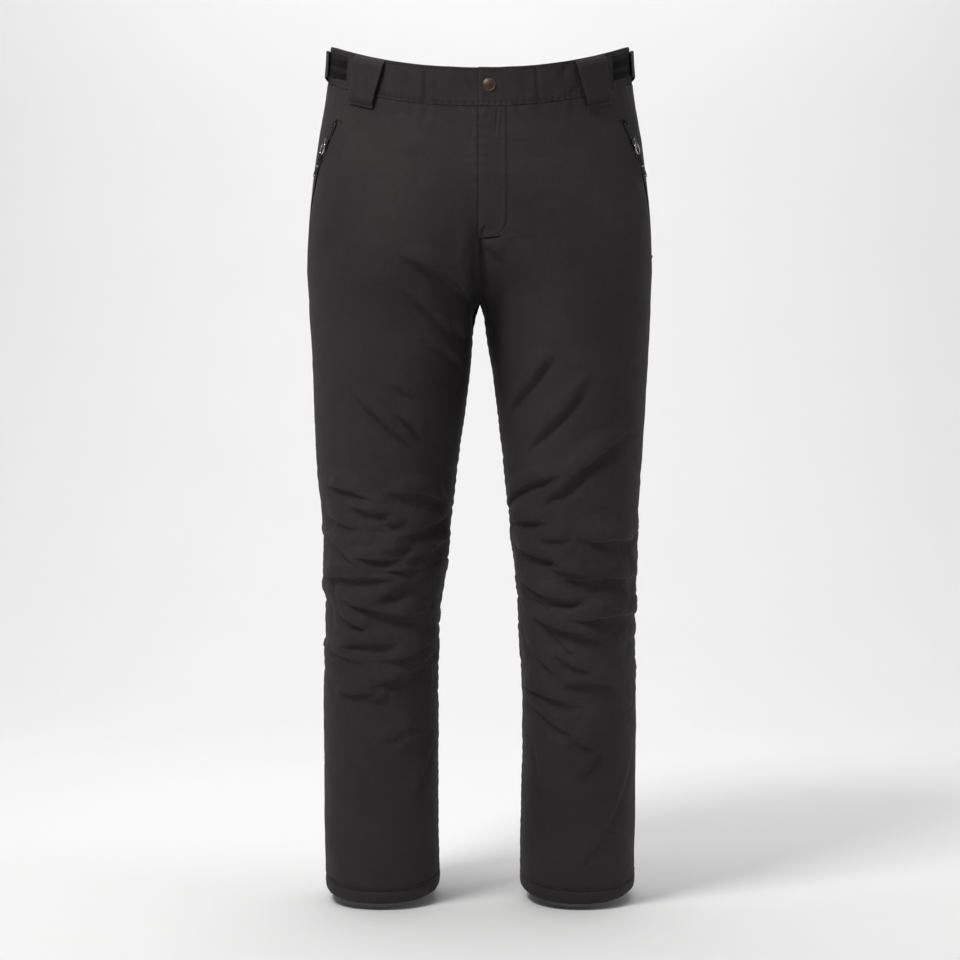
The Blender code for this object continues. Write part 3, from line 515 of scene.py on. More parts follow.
def rim_faces(rows, columns, closed):
    """Quads that join a grid to the copy of it that follows it in the list of points."""
    under = rows * columns
    top = np.arange(columns)
    foot = (rows - 1) * columns + top
    left = np.arange(rows) * columns
    right = left + columns - 1
    loops = [(top, False), (foot, True)]
    if not closed:
        loops += [(left, True), (right, False)]
    quads = []
    for line, flip in loops:
        a, b = line[:-1], line[1:]
        if closed:
            a, b = line, np.roll(line, -1)
        quad = np.stack([a, b, b + under, a + under], -1)
        quads.append(quad[:, ::-1] if flip else quad)
    return np.concatenate(quads)


SHARP = math.radians(62)


def add_weave(mesh, place):
    attribute = mesh.attributes.new("weave", "FLOAT_VECTOR", "POINT")
    attribute.data.foreach_set("vector", np.asarray(place, float).ravel())


def placed(name, mesh, look, body, nodes):
    """A new object of a mesh, riding on a body and standing for CAD nodes."""
    mesh.materials.append(look)
    made = bpy.data.objects.new(name, mesh)
    bpy.context.scene.collection.objects.link(made)
    if body:
        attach(made, body)
    if nodes:
        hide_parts(*nodes)
    return made


def piece(name, points, faces, look, body="garment", slot=None, weave=None, nodes=(), side=1):
    """A smooth piece of these points and faces, mirrored for the right side."""
    points = np.asarray(points, float).reshape(-1, 3) * (side, 1, 1)
    rows = faces.tolist() if isinstance(faces, np.ndarray) else faces
    mesh = bpy.data.meshes.new(name)
    mesh.from_pydata(points.tolist(), [], [tuple(face)[::side] for face in rows])
    mesh.update()
    mesh.shade_smooth()
    mesh.set_sharp_from_angle(angle=SHARP)
    add_weave(mesh, points if weave is None else weave)
    return placed(name, mesh, look, body, nodes)


def slab(name, look, base, normal, top, under, closed=False, weave=None, **rest):
    """A closed sheet between two heights over a grid of points."""
    rows, columns = base.shape[:2]
    outer = base + normal * np.broadcast_to(top, base.shape[:2])[..., None]
    inner = base + normal * np.broadcast_to(under, base.shape[:2])[..., None]
    points = np.concatenate([outer.reshape(-1, 3), inner.reshape(-1, 3)])
    faces = np.concatenate(
        [
            grid_faces(rows, columns, closed),
            grid_faces(rows, columns, closed, rows * columns)[:, ::-1],
            rim_faces(rows, columns, closed),
        ]
    )
    if weave is not None:
        weave = np.concatenate([weave.reshape(-1, 3), weave.reshape(-1, 3)])
    return piece(name, points, faces, look, weave=weave, **rest)


def spread(length, step, edge=0.0009):
    """Positions from 0 to 1, a step apart, with extra ones close to both ends."""
    middle = np.linspace(edge, length - edge, max(int(round(length / step)), 3))
    return np.concatenate([[0, edge * 0.35], middle, [length - edge * 0.35, length]]) / length


def eased(away, thickness, keep=0.3):
    """Part of its thickness that a sheet has at a distance from its rounded edge."""
    t = np.clip(away / (0.75 * thickness), 0, 1)
    return keep + (1 - keep) * np.sqrt(1 - (1 - t) ** 2)


def at_levels(edge, levels):
    """An edge's angles, from a number or from a function of level."""
    return edge(levels) if callable(edge) else edge + 0 * levels


def ribbon(name, look, start, end, top, foot, height, thickness, step=0.004, bump=None,
           soft="lrtb", **rest):
    """A sewn strip on the garment between two edges and two levels.

    bump is a function of distance round, distance down and points, added to the outer face.
    soft names the edges that are rounded: left, right, top and bottom.
    """
    drop = abs(top - foot)
    down = spread(drop, step)
    levels = top + (foot - top) * down
    first, last = at_levels(start, levels), at_levels(end, levels)
    middle_row = len(levels) // 2
    line = on_skin(np.linspace(first[middle_row], last[middle_row], 60), levels[middle_row])
    width = np.linalg.norm(np.diff(line, axis=0), axis=1).sum()
    across = spread(width, step)
    angles = first[:, None] + (last - first)[:, None] * across[None]
    base, normal = skin_grid(angles, levels)
    u, v = across[None] * width + 0 * angles, down[:, None] * drop + 0 * angles
    ease = np.ones_like(u)
    for letter, away in (("l", u), ("r", width - u), ("t", v), ("b", drop - v)):
        if letter in soft:
            ease = np.minimum(ease, eased(away, thickness))
    lift = height(angles, levels[:, None]) if callable(height) else height
    lift = lift - thickness / 2
    outer = lift + ease * thickness / 2
    inner = lift - ease * thickness / 2
    if bump is not None:
        extra = bump(u, v, base)
        outer = outer + extra
        inner = inner + np.clip(extra, 0, None) * 0.5
    away = np.minimum(np.minimum(u, width - u), np.minimum(v, drop - v))
    weave = weave_of(u + first[0] / 300, base[..., 2], np.exp(-away / 0.0025))
    return slab(name, look, base, normal, outer, inner, weave=weave, **rest)


def dashes(name, path, normals, pitch=0.0032, length=0.0024, radius=0.00025, **rest):
    """A row of stitches along a line of points."""
    steps = np.linalg.norm(np.diff(path, axis=0), axis=1)
    run = np.concatenate([[0], np.cumsum(steps)])
    count = max(int(run[-1] / pitch), 1)
    middles = (np.arange(count) + 0.5) * run[-1] / count

    def at(places, values):
        return np.stack([np.interp(places, run, values[:, k]) for k in range(3)], -1)

    half = np.minimum(length, run[-1] / count * 0.9) / 2
    ahead = unit(at(middles + half, path) - at(middles - half, path))
    out = unit(at(middles, normals))
    return bars(name, THREAD, at(middles, path), ahead, out, half, radius, **rest)


def bars(name, look, centre, ahead, out, half, radius, flat=0.7, sides=6, **rest):
    """Small rounded bars, each along its own direction."""
    beside = unit(np.cross(ahead, out))
    profile = ((-1, 0.35), (-0.8, 0.85), (0, 1.0), (0.8, 0.85), (1, 0.35))
    turns = np.arange(sides) * 2 * math.pi / sides
    rings = [
        centre[:, None] + (ahead * half * t)[:, None]
        + radius * r * (np.cos(turns)[None, :, None] * beside[:, None]
                        + flat * np.sin(turns)[None, :, None] * out[:, None])
        for t, r in profile
    ]
    points = np.stack(rings, 1)
    faces = []
    for i in range(len(centre)):
        first = i * len(profile) * sides
        for quad in grid_faces(len(profile), sides, True, first).tolist():
            faces.append(quad[::-1])
        faces.append(list(range(first, first + sides)))
        last = first + (len(profile) - 1) * sides
        faces.append(list(range(last, last + sides))[::-1])
    return piece(name, points, faces, look, **rest)


def turned(name, look, profile, place, steps=56, **rest):
    """A turned piece: a profile of radius and height spun round the frame's Z."""
    solid = profile[0][0] == 0
    ring = profile[1:-1] if solid else profile
    turns = np.arange(steps) * 2 * math.pi / steps
    points = [(r * math.cos(t), r * math.sin(t), z) for r, z in ring for t in turns]
    faces = grid_faces(len(ring), steps, True).tolist()
    last = (len(ring) - 1) * steps
    if solid:
        top, foot = len(points), len(points) + 1
        points += [(0, 0, profile[0][1]), (0, 0, profile[-1][1])]
    for i in range(steps):
        n = (i + 1) % steps
        if solid:
            faces += [[top, i, n], [foot, last + n, last + i]]
        else:
            faces.append([last + i, i, n, last + n])
    points = np.array([tuple(place @ Vector(p)) for p in points])
    return right_way_out(piece(name, points, faces, look, **rest))


def tube(name, look, path, radii, up, sides=10, closed=False, flat=1.0, **rest):
    """A tube along a line. Its width is its radius, and its depth is flat times that."""
    ahead = np.gradient(path, axis=0)
    if closed:
        ahead = np.roll(path, -1, axis=0) - np.roll(path, 1, axis=0)
    ahead = unit(ahead)
    beside = unit(np.cross(ahead, np.broadcast_to(up, path.shape)))
    over = np.cross(beside, ahead)
    turns = np.arange(sides) * 2 * math.pi / sides
    count = len(path)
    points = path[:, None] + np.broadcast_to(radii, count)[:, None, None] * (
        np.cos(turns)[None, :, None] * beside[:, None]
        + flat * np.sin(turns)[None, :, None] * over[:, None]
    )
    faces = []
    for i in range(count if closed else count - 1):
        n = (i + 1) % count
        for k in range(sides):
            m = (k + 1) % sides
            faces.append([i * sides + k, i * sides + m, n * sides + m, n * sides + k])
    if not closed:
        faces.append(list(range(sides))[::-1])
        faces.append([(count - 1) * sides + k for k in range(sides)])
    return right_way_out(piece(name, points, faces, look, **rest))


def right_way_out(made):
    """Turns the faces of a closed piece outwards."""
    shape = bmesh.new()
    shape.from_mesh(made.data)
    bmesh.ops.recalc_face_normals(shape, faces=shape.faces)
    shape.to_mesh(made.data)
    shape.free()
    return made


def softened(name, node, look, width, body):
    """A CAD piece with its edges rounded."""
    mesh = bpy.data.objects[node].data.copy()
    mesh.materials.clear()
    shape = bmesh.new()
    shape.from_mesh(mesh)
    bmesh.ops.remove_doubles(shape, verts=shape.verts, dist=1e-6)
    bmesh.ops.dissolve_limit(shape, angle_limit=0.02, verts=shape.verts, edges=shape.edges)
    sharp = [e for e in shape.edges if len(e.link_faces) == 2 and e.calc_face_angle() > 0.5]
    bmesh.ops.bevel(
        shape, geom=sharp, offset=width, segments=3, affect="EDGES", profile=0.5, clamp_overlap=True
    )
    shape.to_mesh(mesh)
    shape.free()
    mesh.shade_smooth()
    place = np.empty(len(mesh.vertices) * 3)
    mesh.vertices.foreach_get("co", place)
    add_weave(mesh, place)
    return placed(name, mesh, look, body, [node])


# ---- materials ----------------------------------------------------------------------------


class Nodes:
    """A material's node tree, with short ways to add and join nodes."""

    def __init__(self, name):
        self.material = bpy.data.materials.new(name)
        self.material.use_nodes = True
        self.tree = self.material.node_tree
        self.shader = self.tree.nodes["Principled BSDF"]

    def add(self, kind, inputs=None, **settings):
        made = self.tree.nodes.new("ShaderNode" + kind)
        for key, value in settings.items():
            setattr(made, key, value)
        for key, value in (inputs or {}).items():
            if isinstance(value, bpy.types.NodeSocket):
                self.tree.links.new(value, made.inputs[key])
            else:
                made.inputs[key].default_value = value
        return made

    def math(self, operation, a, b):
        return self.add("Math", {0: a, 1: b}, operation=operation).outputs[0]

    def noise(self, vector, scale, detail=3.0, roughness=0.55):
        inputs = {"Vector": vector, "Scale": scale, "Detail": detail, "Roughness": roughness}
        return self.add("TexNoise", inputs).outputs[0]

    def ramp(self, value, low, high, first=0.3, last=0.7):
        """Stretches a value's range from first to last over low to high."""
        ends = {"From Min": first, "From Max": last, "To Min": low, "To Max": high}
        return self.add("MapRange", {"Value": value, **ends}).outputs[0]

    def link(self, value, name):
        self.tree.links.new(value, self.shader.inputs[name])

    def rough(self, value, roughness, spread_each_way):
        low, high = roughness - spread_each_way, roughness + spread_each_way
        self.link(self.ramp(value, low, high), "Roughness")

    def bump(self, height, strength, distance):
        inputs = {"Height": height, "Strength": strength, "Distance": distance}
        self.link(self.add("Bump", inputs).outputs[0], "Normal")

    def set(self, **values):
        for key, value in values.items():
            self.shader.inputs[key.replace("_", " ")].default_value = value


def tinted(nodes, colour, factor):
    """The colour times a factor that varies over the surface."""
    scale = nodes.add("VectorMath", {0: colour, "Scale": factor}, operation="SCALE")
    return scale.outputs[0]


def fabric(name, colour, pitch=0.0006, weave=0.5, roughness=0.78, sheen=0.3, uneven=0.16,
           edge=0.25):
    """Woven cloth: threads both ways, slubs, uneven dye, and colour paler near seams and fold edges."""
    nodes = Nodes(name)
    place = nodes.add("Attribute", attribute_name="weave").outputs["Vector"]
    parts = nodes.add("SeparateXYZ", {0: place})
    flat = nodes.add("CombineXYZ", {0: parts.outputs[0], 1: parts.outputs[1]}).outputs[0]
    solid = nodes.add("TexCoord").outputs["Object"]
    wave = {"Vector": flat, "Scale": 2 * math.pi / 20 / pitch, "Distortion": 0.6, "Detail": 1.0}
    threads = [
        nodes.add("TexWave", wave, bands_direction=way).outputs["Fac"] for way in ("X", "Y")
    ]
    cloth = nodes.math("MULTIPLY", nodes.math("ADD", threads[0], threads[1]), 0.5)
    slub = nodes.noise(flat, 2600.0, 2.0)
    relief = nodes.math(
        "ADD", nodes.math("MULTIPLY", cloth, weave), nodes.math("MULTIPLY", slub, 0.25)
    )
    blotch = nodes.ramp(nodes.noise(solid, 9.0, 4.0), 1 - uneven, 1 + uneven)
    mottle = nodes.ramp(nodes.noise(solid, 240.0, 3.0, 0.7), 0.90, 1.10)
    thread = nodes.ramp(cloth, 0.9, 1.1, 0.0, 1.0)
    # Colour paler near seams and folded edges, unevenly along them.
    edge_paling = nodes.math("MULTIPLY", parts.outputs[2], nodes.noise(solid, 130.0, 2.0))
    edge_paling = nodes.math("ADD", nodes.math("MULTIPLY", edge_paling, edge), 1.0)
    factor = nodes.math("MULTIPLY", nodes.math("MULTIPLY", blotch, mottle), thread)
    factor = nodes.math("MULTIPLY", factor, edge_paling)
    nodes.link(tinted(nodes, colour, factor), "Base Color")
    nodes.rough(nodes.noise(solid, 60.0), roughness, 0.05)
    nodes.bump(relief, 0.35, 0.00025)
    nodes.set(Sheen_Weight=sheen, Sheen_Roughness=0.45, Specular_IOR_Level=0.15)
    return nodes.material


def hard(name, colour, roughness, metallic=0.0, coat=0.0, hammered=0.0, dirt=0.12):
    """Metal or moulded plastic, with fine scratches and a little unevenness."""
    nodes = Nodes(name)
    solid = nodes.add("TexCoord").outputs["Object"]
    fine = nodes.noise(solid, 1400.0, 4.0, 0.65)
    broad = nodes.noise(solid, 260.0, 3.0)
    nodes.link(tinted(nodes, colour, nodes.ramp(broad, 1 - dirt, 1 + dirt)), "Base Color")
    nodes.rough(fine, roughness, 0.08)
    scratches = nodes.math("MULTIPLY", fine, 0.25)
    dents = nodes.math("MULTIPLY", broad, hammered)
    nodes.bump(nodes.math("ADD", scratches, dents), 0.25, 0.0002)
    nodes.set(Metallic=metallic, Coat_Weight=coat, Coat_Roughness=0.15)
    return nodes.material


def pile(name, colour, scale, depth, roughness=0.9):
    """Brushed loops or moulded hooks: a dense field of small bumps."""
    nodes = Nodes(name)
    place = nodes.add("Attribute", attribute_name="weave").outputs["Vector"]
    cells = nodes.add("TexVoronoi", {"Vector": place, "Scale": scale}).outputs["Distance"]
    fuzz = nodes.noise(place, scale * 1.7, 4.0, 0.7)
    nodes.link(tinted(nodes, colour, nodes.ramp(fuzz, 0.6, 1.5)), "Base Color")
    nodes.rough(fuzz, roughness, 0.06)
    nodes.bump(nodes.math("ADD", cells, nodes.math("MULTIPLY", fuzz, 0.6)), 0.7, depth)
    nodes.set(Sheen_Weight=0.0, Sheen_Roughness=0.5, Specular_IOR_Level=0.15)
    return nodes.material


def studio(name, colour):
    """The matt floor and wall behind the pants."""
    nodes = Nodes(name)
    solid = nodes.add("TexCoord").outputs["Object"]
    factor = nodes.ramp(nodes.noise(solid, 3.0), 0.995, 1.005)
    nodes.link(tinted(nodes, colour, factor), "Base Color")
    nodes.set(Roughness=0.9, Specular_IOR_Level=0.1)
    return nodes.material


SHELL = fabric("shell_fabric_look", (0.0300, 0.0263, 0.0270), sheen=0.02)
BAND_LOOK = fabric("waistband_fabric_look", (0.0285, 0.0253, 0.0260), uneven=0.12, sheen=0.02)
SEWN_ON = dict(uneven=0.10, edge=0.35, sheen=0.03)
LOOP_LOOK = fabric("belt_loop_fabric_look", (0.0265, 0.0235, 0.0242), **SEWN_ON)
STRAP_LOOK = fabric("strap_fabric_look", (0.0255, 0.0225, 0.0232), **SEWN_ON)
THREAD = fabric("thread_look", (0.019, 0.017, 0.0175), pitch=0.0003, sheen=0.05, roughness=0.65)
LINING_LOOK = fabric("lining_look", (0.040, 0.043, 0.050), pitch=0.0004, sheen=0.1, roughness=0.55)
POCKETING = fabric("pocketing_look", (0.03, 0.03, 0.033), sheen=0.1)
TAPE_LOOK = fabric("zip_tape_look", (0.010, 0.010, 0.011), pitch=0.0008, sheen=0.15, weave=0.8)
ELASTIC = fabric("elastic_look", (0.013, 0.013, 0.014), pitch=0.0013, sheen=0.2, weave=1.0)
GAITER_LOOK = fabric(
    "gaiter_fabric_look", (0.016, 0.016, 0.018), pitch=0.0004, roughness=0.5, sheen=0.05
)
PULL_LOOK = fabric("pull_cord_look", (0.014, 0.014, 0.015), pitch=0.0011, weave=1.2, roughness=0.7)
LIGHT_MARK = hard("pull_end_look", (0.35, 0.35, 0.36), 0.5)
GRIP_LOOK = hard("pull_grip_look", (0.013, 0.013, 0.014), 0.5)
PILE_LOOK = pile("loop_pile_look", (0.0040, 0.0040, 0.0043), 900.0, 0.0004)
PATCH_LOOK = fabric("patch_fabric_look", (0.0125, 0.0115, 0.0118), sheen=0.0)
HOOK_LOOK = pile("hook_plastic_look", (0.006, 0.006, 0.0065), 620.0, 0.0007, 0.5)
COIL = hard("zip_coil_look", (0.011, 0.011, 0.012), 0.38)
GLOSS = hard("slider_black_look", (0.012, 0.012, 0.013), 0.24, coat=0.5)
WIRE = hard("bright_wire_look", (0.78, 0.77, 0.76), 0.2, 1.0)
BRONZE = hard("bronze_look", (0.115, 0.082, 0.064), 0.46, 1.0, hammered=0.6, dirt=0.25)
# The rim's bronze is a paler, glossier copy of the snap's: a painted highlight round the rim.
BRONZE_RIM_HIGHLIGHT = hard("bronze_rim_painted_highlight_look", (0.17, 0.115, 0.088), 0.38, 1.0)
STEEL = hard("bright_steel_look", (0.56, 0.56, 0.57), 0.28, 1.0)
FLOOR = studio("studio_floor_look", (0.86, 0.86, 0.86))

SIDES = ((1, "left"), (-1, "right"))


# ---- the outer fabric ---------------------------------------------------------------------


# Down to each level, the height of a panel's rows.
ROW_STEPS = (
    (-0.06, 0.0022),
    (-0.09, 0.0035),
    (-0.096, 0.0015),
    (-0.44, 0.0034),
    (-0.83, 0.0013),
    (-2, 0.0036),
)


def row_levels(top, foot, zones=ROW_STEPS):
    """Levels of a panel's rows, closest where the folds are."""
    found = [top]
    while found[-1] > foot + 0.001:
        step = next(step for end, step in zones if found[-1] > end)
        found.append(found[-1] - step)
    found[-1] = foot
    return np.array(found)


def panel(name, side, start, end, levels, columns, nodes):
    """One panel of the outer fabric, its cut edges turned in along the seams."""
    first, last = start(levels), end(levels)
    angles = first[:, None] + (last - first)[:, None] * np.linspace(0, 1, columns)[None]
    points, normal, weave = cloth_surface(side, angles, levels)
    inwards = normal * (0, 1, 1) * TURN_IN
    lip = points - inwards
    grid = np.concatenate([lip[:, :1], points, lip[:, -1:]], axis=1)
    weave = np.concatenate([weave[:, :1], weave, weave[:, -1:]], axis=1)
    ends = [0, *range(columns), -1]
    grid = np.concatenate([grid[:1] - inwards[:1, ends], grid, grid[-1:] - inwards[-1:, ends]])
    weave = np.concatenate([weave[:1], weave, weave[-1:]], axis=0)
    faces = grid_faces(*grid.shape[:2])
    made = piece(name, grid, faces, SHELL, weave=weave, nodes=nodes, side=side, slot="shell_fabric")


def zip_edge(level, way):
    """The panel's edge before (-1) or behind (1) the pocket zip; above it the two close up."""
    line = pocket_angle(level)
    edge = line + way * degrees_for(ZIP_ROOM, level, 165)
    closing = smooth((level - POCKET_TOP_LEVEL) / 0.004)
    return np.where(level > POCKET_TOP_LEVEL, edge + (line - edge) * closing, edge)


def side_seam(level):
    return SIDE_SEAM + 0 * level


def front_end(level):
    closing = smooth((level - POCKET_END) / 0.008)
    joined = SIDE_SEAM + (zip_edge(level, -1) - SIDE_SEAM) * closing
    return np.where(level >= POCKET_END, joined, SIDE_SEAM)


def side_start(level):
    closing = smooth((level - POCKET_END) / 0.008)
    return SIDE_SEAM + (np.minimum(zip_edge(level, 1), SIDE_SEAM) - SIDE_SEAM) * closing


def back_end(level):
    return 360 - inner_edge(level)


def fly_side(level):
    """The left front starts at the fly's edge, down to its end."""
    edge = angle_at_x(fly_edge(level), level)
    return np.maximum(np.where(level > FLY_END, edge, 0), inner_edge(level))


def make_shell():
    top = -BAND - 0.0002
    full, short = row_levels(top, HEM_TOP), row_levels(top, POCKET_END + 0.002)
    for side, word in SIDES:
        nodes = [f"front_panel_{word}"] + (["fly_facing_right"] if side < 0 else [])
        panel(f"shell_front_{word}", side, fly_side if side > 0 else inner_edge, front_end, full,
              PANEL_COLUMNS, nodes)
        panel(f"shell_side_{word}", side, side_start, side_seam, short, SIDE_COLUMNS,
              [f"side_panel_{word}"])
        panel(f"shell_back_{word}", side, side_seam, back_end, full, PANEL_COLUMNS,
              [f"back_panel_{word}"])


def make_shell_stitching():
    """Rows of stitches beside the side seams and the seat seam."""
    levels = np.arange(-BAND - 0.004, HEM_TOP + 0.004, -0.0016)
    seat = levels[levels > -0.27]
    beside = 0.0052
    for side, word in SIDES:
        angles = SIDE_SEAM + degrees_for(beside, levels, 190)
        stitch_on_cloth(f"side_seam_stitching_{word}", side, angles, levels)
        stitch_on_cloth(f"seat_stitching_{word}", side, 360 - angle_at_x(beside, seat), seat)


def stitch_on_cloth(name, side, angles, levels, lift=0.00012, **rest):
    """Stitches along the folded cloth, at a height over it."""
    points, normal, _ = cloth_surface(side, angles[:, None], levels)
    line = points[:, 0] + normal[:, 0] * lift
    dashes(name, line, normal[:, 0], side=side, slot="shell_fabric", **rest)


def stitch_on_skin(name, angles, level, lift, radius=0.0003, **rest):
    """Stitches along the smooth surface under the cloth, at a height over it."""
    normal = outward(angles, level)
    points = on_skin(angles, level) + normal * np.broadcast_to(lift, angles.shape)[:, None]
    return dashes(name, points, normal, radius=radius, **rest)


def placket_lift(x):
    """The fly's flap stands off the front below it along its free edge."""
    return 0.0017 * smooth((0.026 - x) / 0.026)


def flap_pleat(x, z):
    """A short upright crease in the flap, below the waistband."""
    across = x - 0.0190 - 0.09 * (z + 0.111)
    drop = bell(across, 0.0011) - 0.6 * bell(across - 0.0026, 0.0018)
    return 0.0011 * drop * smooth((z + 0.130) / 0.010) * smooth((-0.092 - z) / 0.010)


def flap_points(x, levels):
    """Points and normals of the flap's cloth along one line."""
    points, normal, _ = cloth_surface(1, angle_at_x(x, levels)[:, None], levels, sew=False)
    return points[:, 0], normal[:, 0]


def make_placket():
    """The fly's flap, free along the middle and sewn in along its outer edge and foot."""
    levels = row_levels(-BAND - 0.0002, FLY_END + 0.0012, ((-0.06, 0.0022), (-2, 0.0028)))
    share = np.concatenate([[0, 0.012, 0.03], np.linspace(0.06, 1, 44)])
    width = fly_edge(levels)[:, None]
    x = FLY_EDGE + (np.maximum(width, FLY_EDGE + 0.0015) - FLY_EDGE) * share[None]
    angles = angle_at_x(x, levels[:, None])
    points, normal, weave = cloth_surface(1, angles, levels, sew=False)
    lift = placket_lift(x) + 0.00045 * bell(x - width + 0.0105, 0.002)
    lift -= 0.0005 * bell(x - width + J_STITCH, 0.0012) + flap_pleat(x, points[..., 2])
    ease = eased(x - FLY_EDGE, 0.0015)
    weave[..., 2] = np.exp(-(x - FLY_EDGE) / 0.003)
    made = slab("fly_flap", SHELL, points, normal, lift - 0.0006 + ease * 0.0006,
                lift - 0.0006 - ease * 0.0005, weave=weave, body=None, slot="shell_fabric",
                nodes=["fly_placket"])
    blend_flap(made)


def stitch_placket():
    """The curved row of stitches down the flap, inside its outer edge."""
    levels = np.arange(-BAND - 0.004, FLY_END + 0.006, -0.0012)
    x = np.maximum(fly_edge(levels, FLY_WIDTH - J_STITCH, FLY_END + 0.0045), 0.003)
    levels, x = levels[x > 0.0031], x[x > 0.0031]
    points, normal = flap_points(x, levels)
    line = points + normal * (placket_lift(x)[:, None] + 0.00002)
    blend_flap(dashes("fly_stitching_inner", line, normal, body=None, slot="shell_fabric",
                      radius=0.00032))


def blend_flap(made):
    """Bakes the piece's place into its mesh."""
    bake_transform(made)


def make_fly_bartack():
    """A dense bar of thread across the seam at the flap's foot."""
    along = np.linspace(-0.5, 0.5, 12) * 0.009
    x = 0.0035 + along * math.cos(math.radians(60))
    points, normal = flap_points(x, FLY_END + 0.010 + along * math.sin(math.radians(60)))
    centre = points + normal * (placket_lift(x)[:, None] + 0.0002)
    across = unit(np.cross(unit(np.gradient(centre, axis=0)), normal))
    bars("fly_bartack", THREAD, centre, across, normal, 0.0016, 0.0004, slot="shell_fabric")


# ---- the waist ----------------------------------------------------------------------------


def band_bump(strength, pitch, seed, seam=True):
    """Upright gathers over the band, and puckers along the row of stitches at its foot."""

    def bump(u, v, base):
        upright = noise(base * (1, 1, 0.25), pitch, seed)
        small = noise(base * (1, 1, 0.4), pitch * 0.45, seed + 1)
        height = strength * (upright + 0.5 * small)
        if seam:
            foot = BAND - v
            height -= 0.0006 * bell(foot - 0.0045, 0.0009)
            wave = np.sin(u / 0.0011 + 2 * noise(base, 0.03, seed + 2))
            height += 0.0005 * wave * bell(foot - 0.003, 0.006)
            height -= 0.0004 * bell(v - 0.0035, 0.0009)
        return height

    return bump


FRONT_BUMP, BACK_BUMP = band_bump(0.0011, 0.020, 2), band_bump(0.0010, 0.0095, 4)
FACING_BUMP = band_bump(-0.0005, 0.014, 6, False)


def band_left_bump(u, v, base):
    """The left front's gathers, with a fold beside the tab and two dents near the loop."""
    x = base[..., 0]
    fold = 0.0008 * bell(x - 0.060, 0.0045) - 0.0019 * bell(x - 0.066 - 0.1 * (v - 0.02), 0.0028)
    notch = 0.0020 * bell(x - 0.098, 0.0035) * bell(v - 0.010, 0.006)
    tuck = 0.0018 * bell(x - 0.108, 0.005) * bell(v - 0.036, 0.004)
    return FRONT_BUMP(u, v, base) + fold - notch - tuck


def band_right_bump(u, v, base):
    """The right front's gathers, with an upright fold and a slanting crease by the snap."""
    x = base[..., 0]
    fold = -0.0020 * bell(x - 0.063, 0.0022) * smooth((v - 0.004) / 0.012)
    fold += 0.0008 * bell(x - 0.056, 0.004)
    crease = 0.0018 * bell(x - 0.009 - 0.7 * (0.024 - v), 0.0022) * bell(v - 0.024, 0.008)
    return FRONT_BUMP(u, v, base) + fold - crease


def band_back_bump(u, v, base):
    """The back's gathers, gentle at both ends, where the elastic stops."""
    near = smooth((u - 0.03) / 0.05) * smooth((BACK_WIDTH - 0.03 - u) / 0.05)
    return BACK_BUMP(u, v, base) * (0.25 + 0.75 * near)


def tab_lift(x):
    """The tab stands off the band below it along its free edge."""
    return 0.0020 * smooth((0.023 - x) / 0.023)


def tab_height(angle, level):
    return tab_lift(on_skin(angle, level)[..., 0])


def elastic_ribs(u, v, base):
    return 0.00012 * np.sin(v / 0.0007)


def make_waistband():
    common = dict(step=0.0015, slot="waistband_fabric")
    ribbon("band_front_left", BAND_LOOK, edge_at(FLY_WIDTH), BAND_JOIN, 0, -BAND, 0, BAND_THICK,
           soft="tb", bump=band_left_bump, nodes=["waistband_front_left"], **common)
    ribbon("band_front_right", BAND_LOOK, 90.15, BAND_JOIN, 0, -BAND, 0, BAND_THICK,
           soft="ltb", bump=band_right_bump, nodes=["waistband_front_right"], side=-1, **common)
    ribbon("band_back", BAND_LOOK, BAND_JOIN, 345, 0, -BAND, 0, BAND_THICK,
           soft="tb", bump=band_back_bump, nodes=["waistband_back"], **common)
    ribbon("band_tab", BAND_LOOK, edge_at(FLY_EDGE), edge_at(FLY_WIDTH), 0, -BAND, tab_height,
           0.0016, soft="ltb", bump=FRONT_BUMP, body="front_closure", nodes=["waistband_tab"],
           **common)
    ribbon("band_underlap", BAND_LOOK, edge_at(-0.020), edge_at(0.028), -0.001, -BAND + 0.001,
           -0.0032, 0.0014, nodes=["waistband_underlap"], **common)
    facing = dict(step=0.005, slot="lining_fabric", soft="tb", bump=FACING_BUMP)
    ribbon("band_facing", LINING_LOOK, 105, 359.9, -0.001, -BAND, -0.0058, 0.0010,
           nodes=["waistband_facing"], **facing)
    ribbon("band_facing_end", LINING_LOOK, 0.1, 74, -0.001, -BAND, -0.0058, 0.0010, **facing)
    ribbon("band_elastic", ELASTIC, 212, 328, -0.002, -BAND + 0.001, -0.0036, 0.0010, step=0.003,
           slot="elastic", nodes=["waist_elastic"], bump=elastic_ribs)


def band_stitching():
    """Stitches along the foot and the top of the waistband and its tab."""
    for side, word, start in ((1, "left", FLY_WIDTH + 0.003), (-1, "right", 0.003)):
        angles = np.linspace(float(angle_at_x(start, -0.03)), 269, 320)
        for level, part in BAND_ROWS:
            stitch_on_skin(f"band_stitching_{part}_{word}", angles, level, 0.00002, side=side,
                           slot="waistband_fabric")
    angles = np.linspace(float(angle_at_x(0.0030, -0.03)), float(angle_at_x(FLY_WIDTH, -0.03)), 30)
    for level, part in BAND_ROWS:
        stitch_on_skin(f"tab_stitching_{part}", angles, level, tab_height(angles, level) - 0.0001,
                       body="front_closure", slot="waistband_fabric")


def loop_height(angle, level):
    rise = np.minimum(np.minimum((0.002 - level) / 0.010, (level + 0.0625) / 0.010), 1.0)
    return 0.0016 + 0.0036 * np.maximum(rise - 0.35, 0) / 0.65


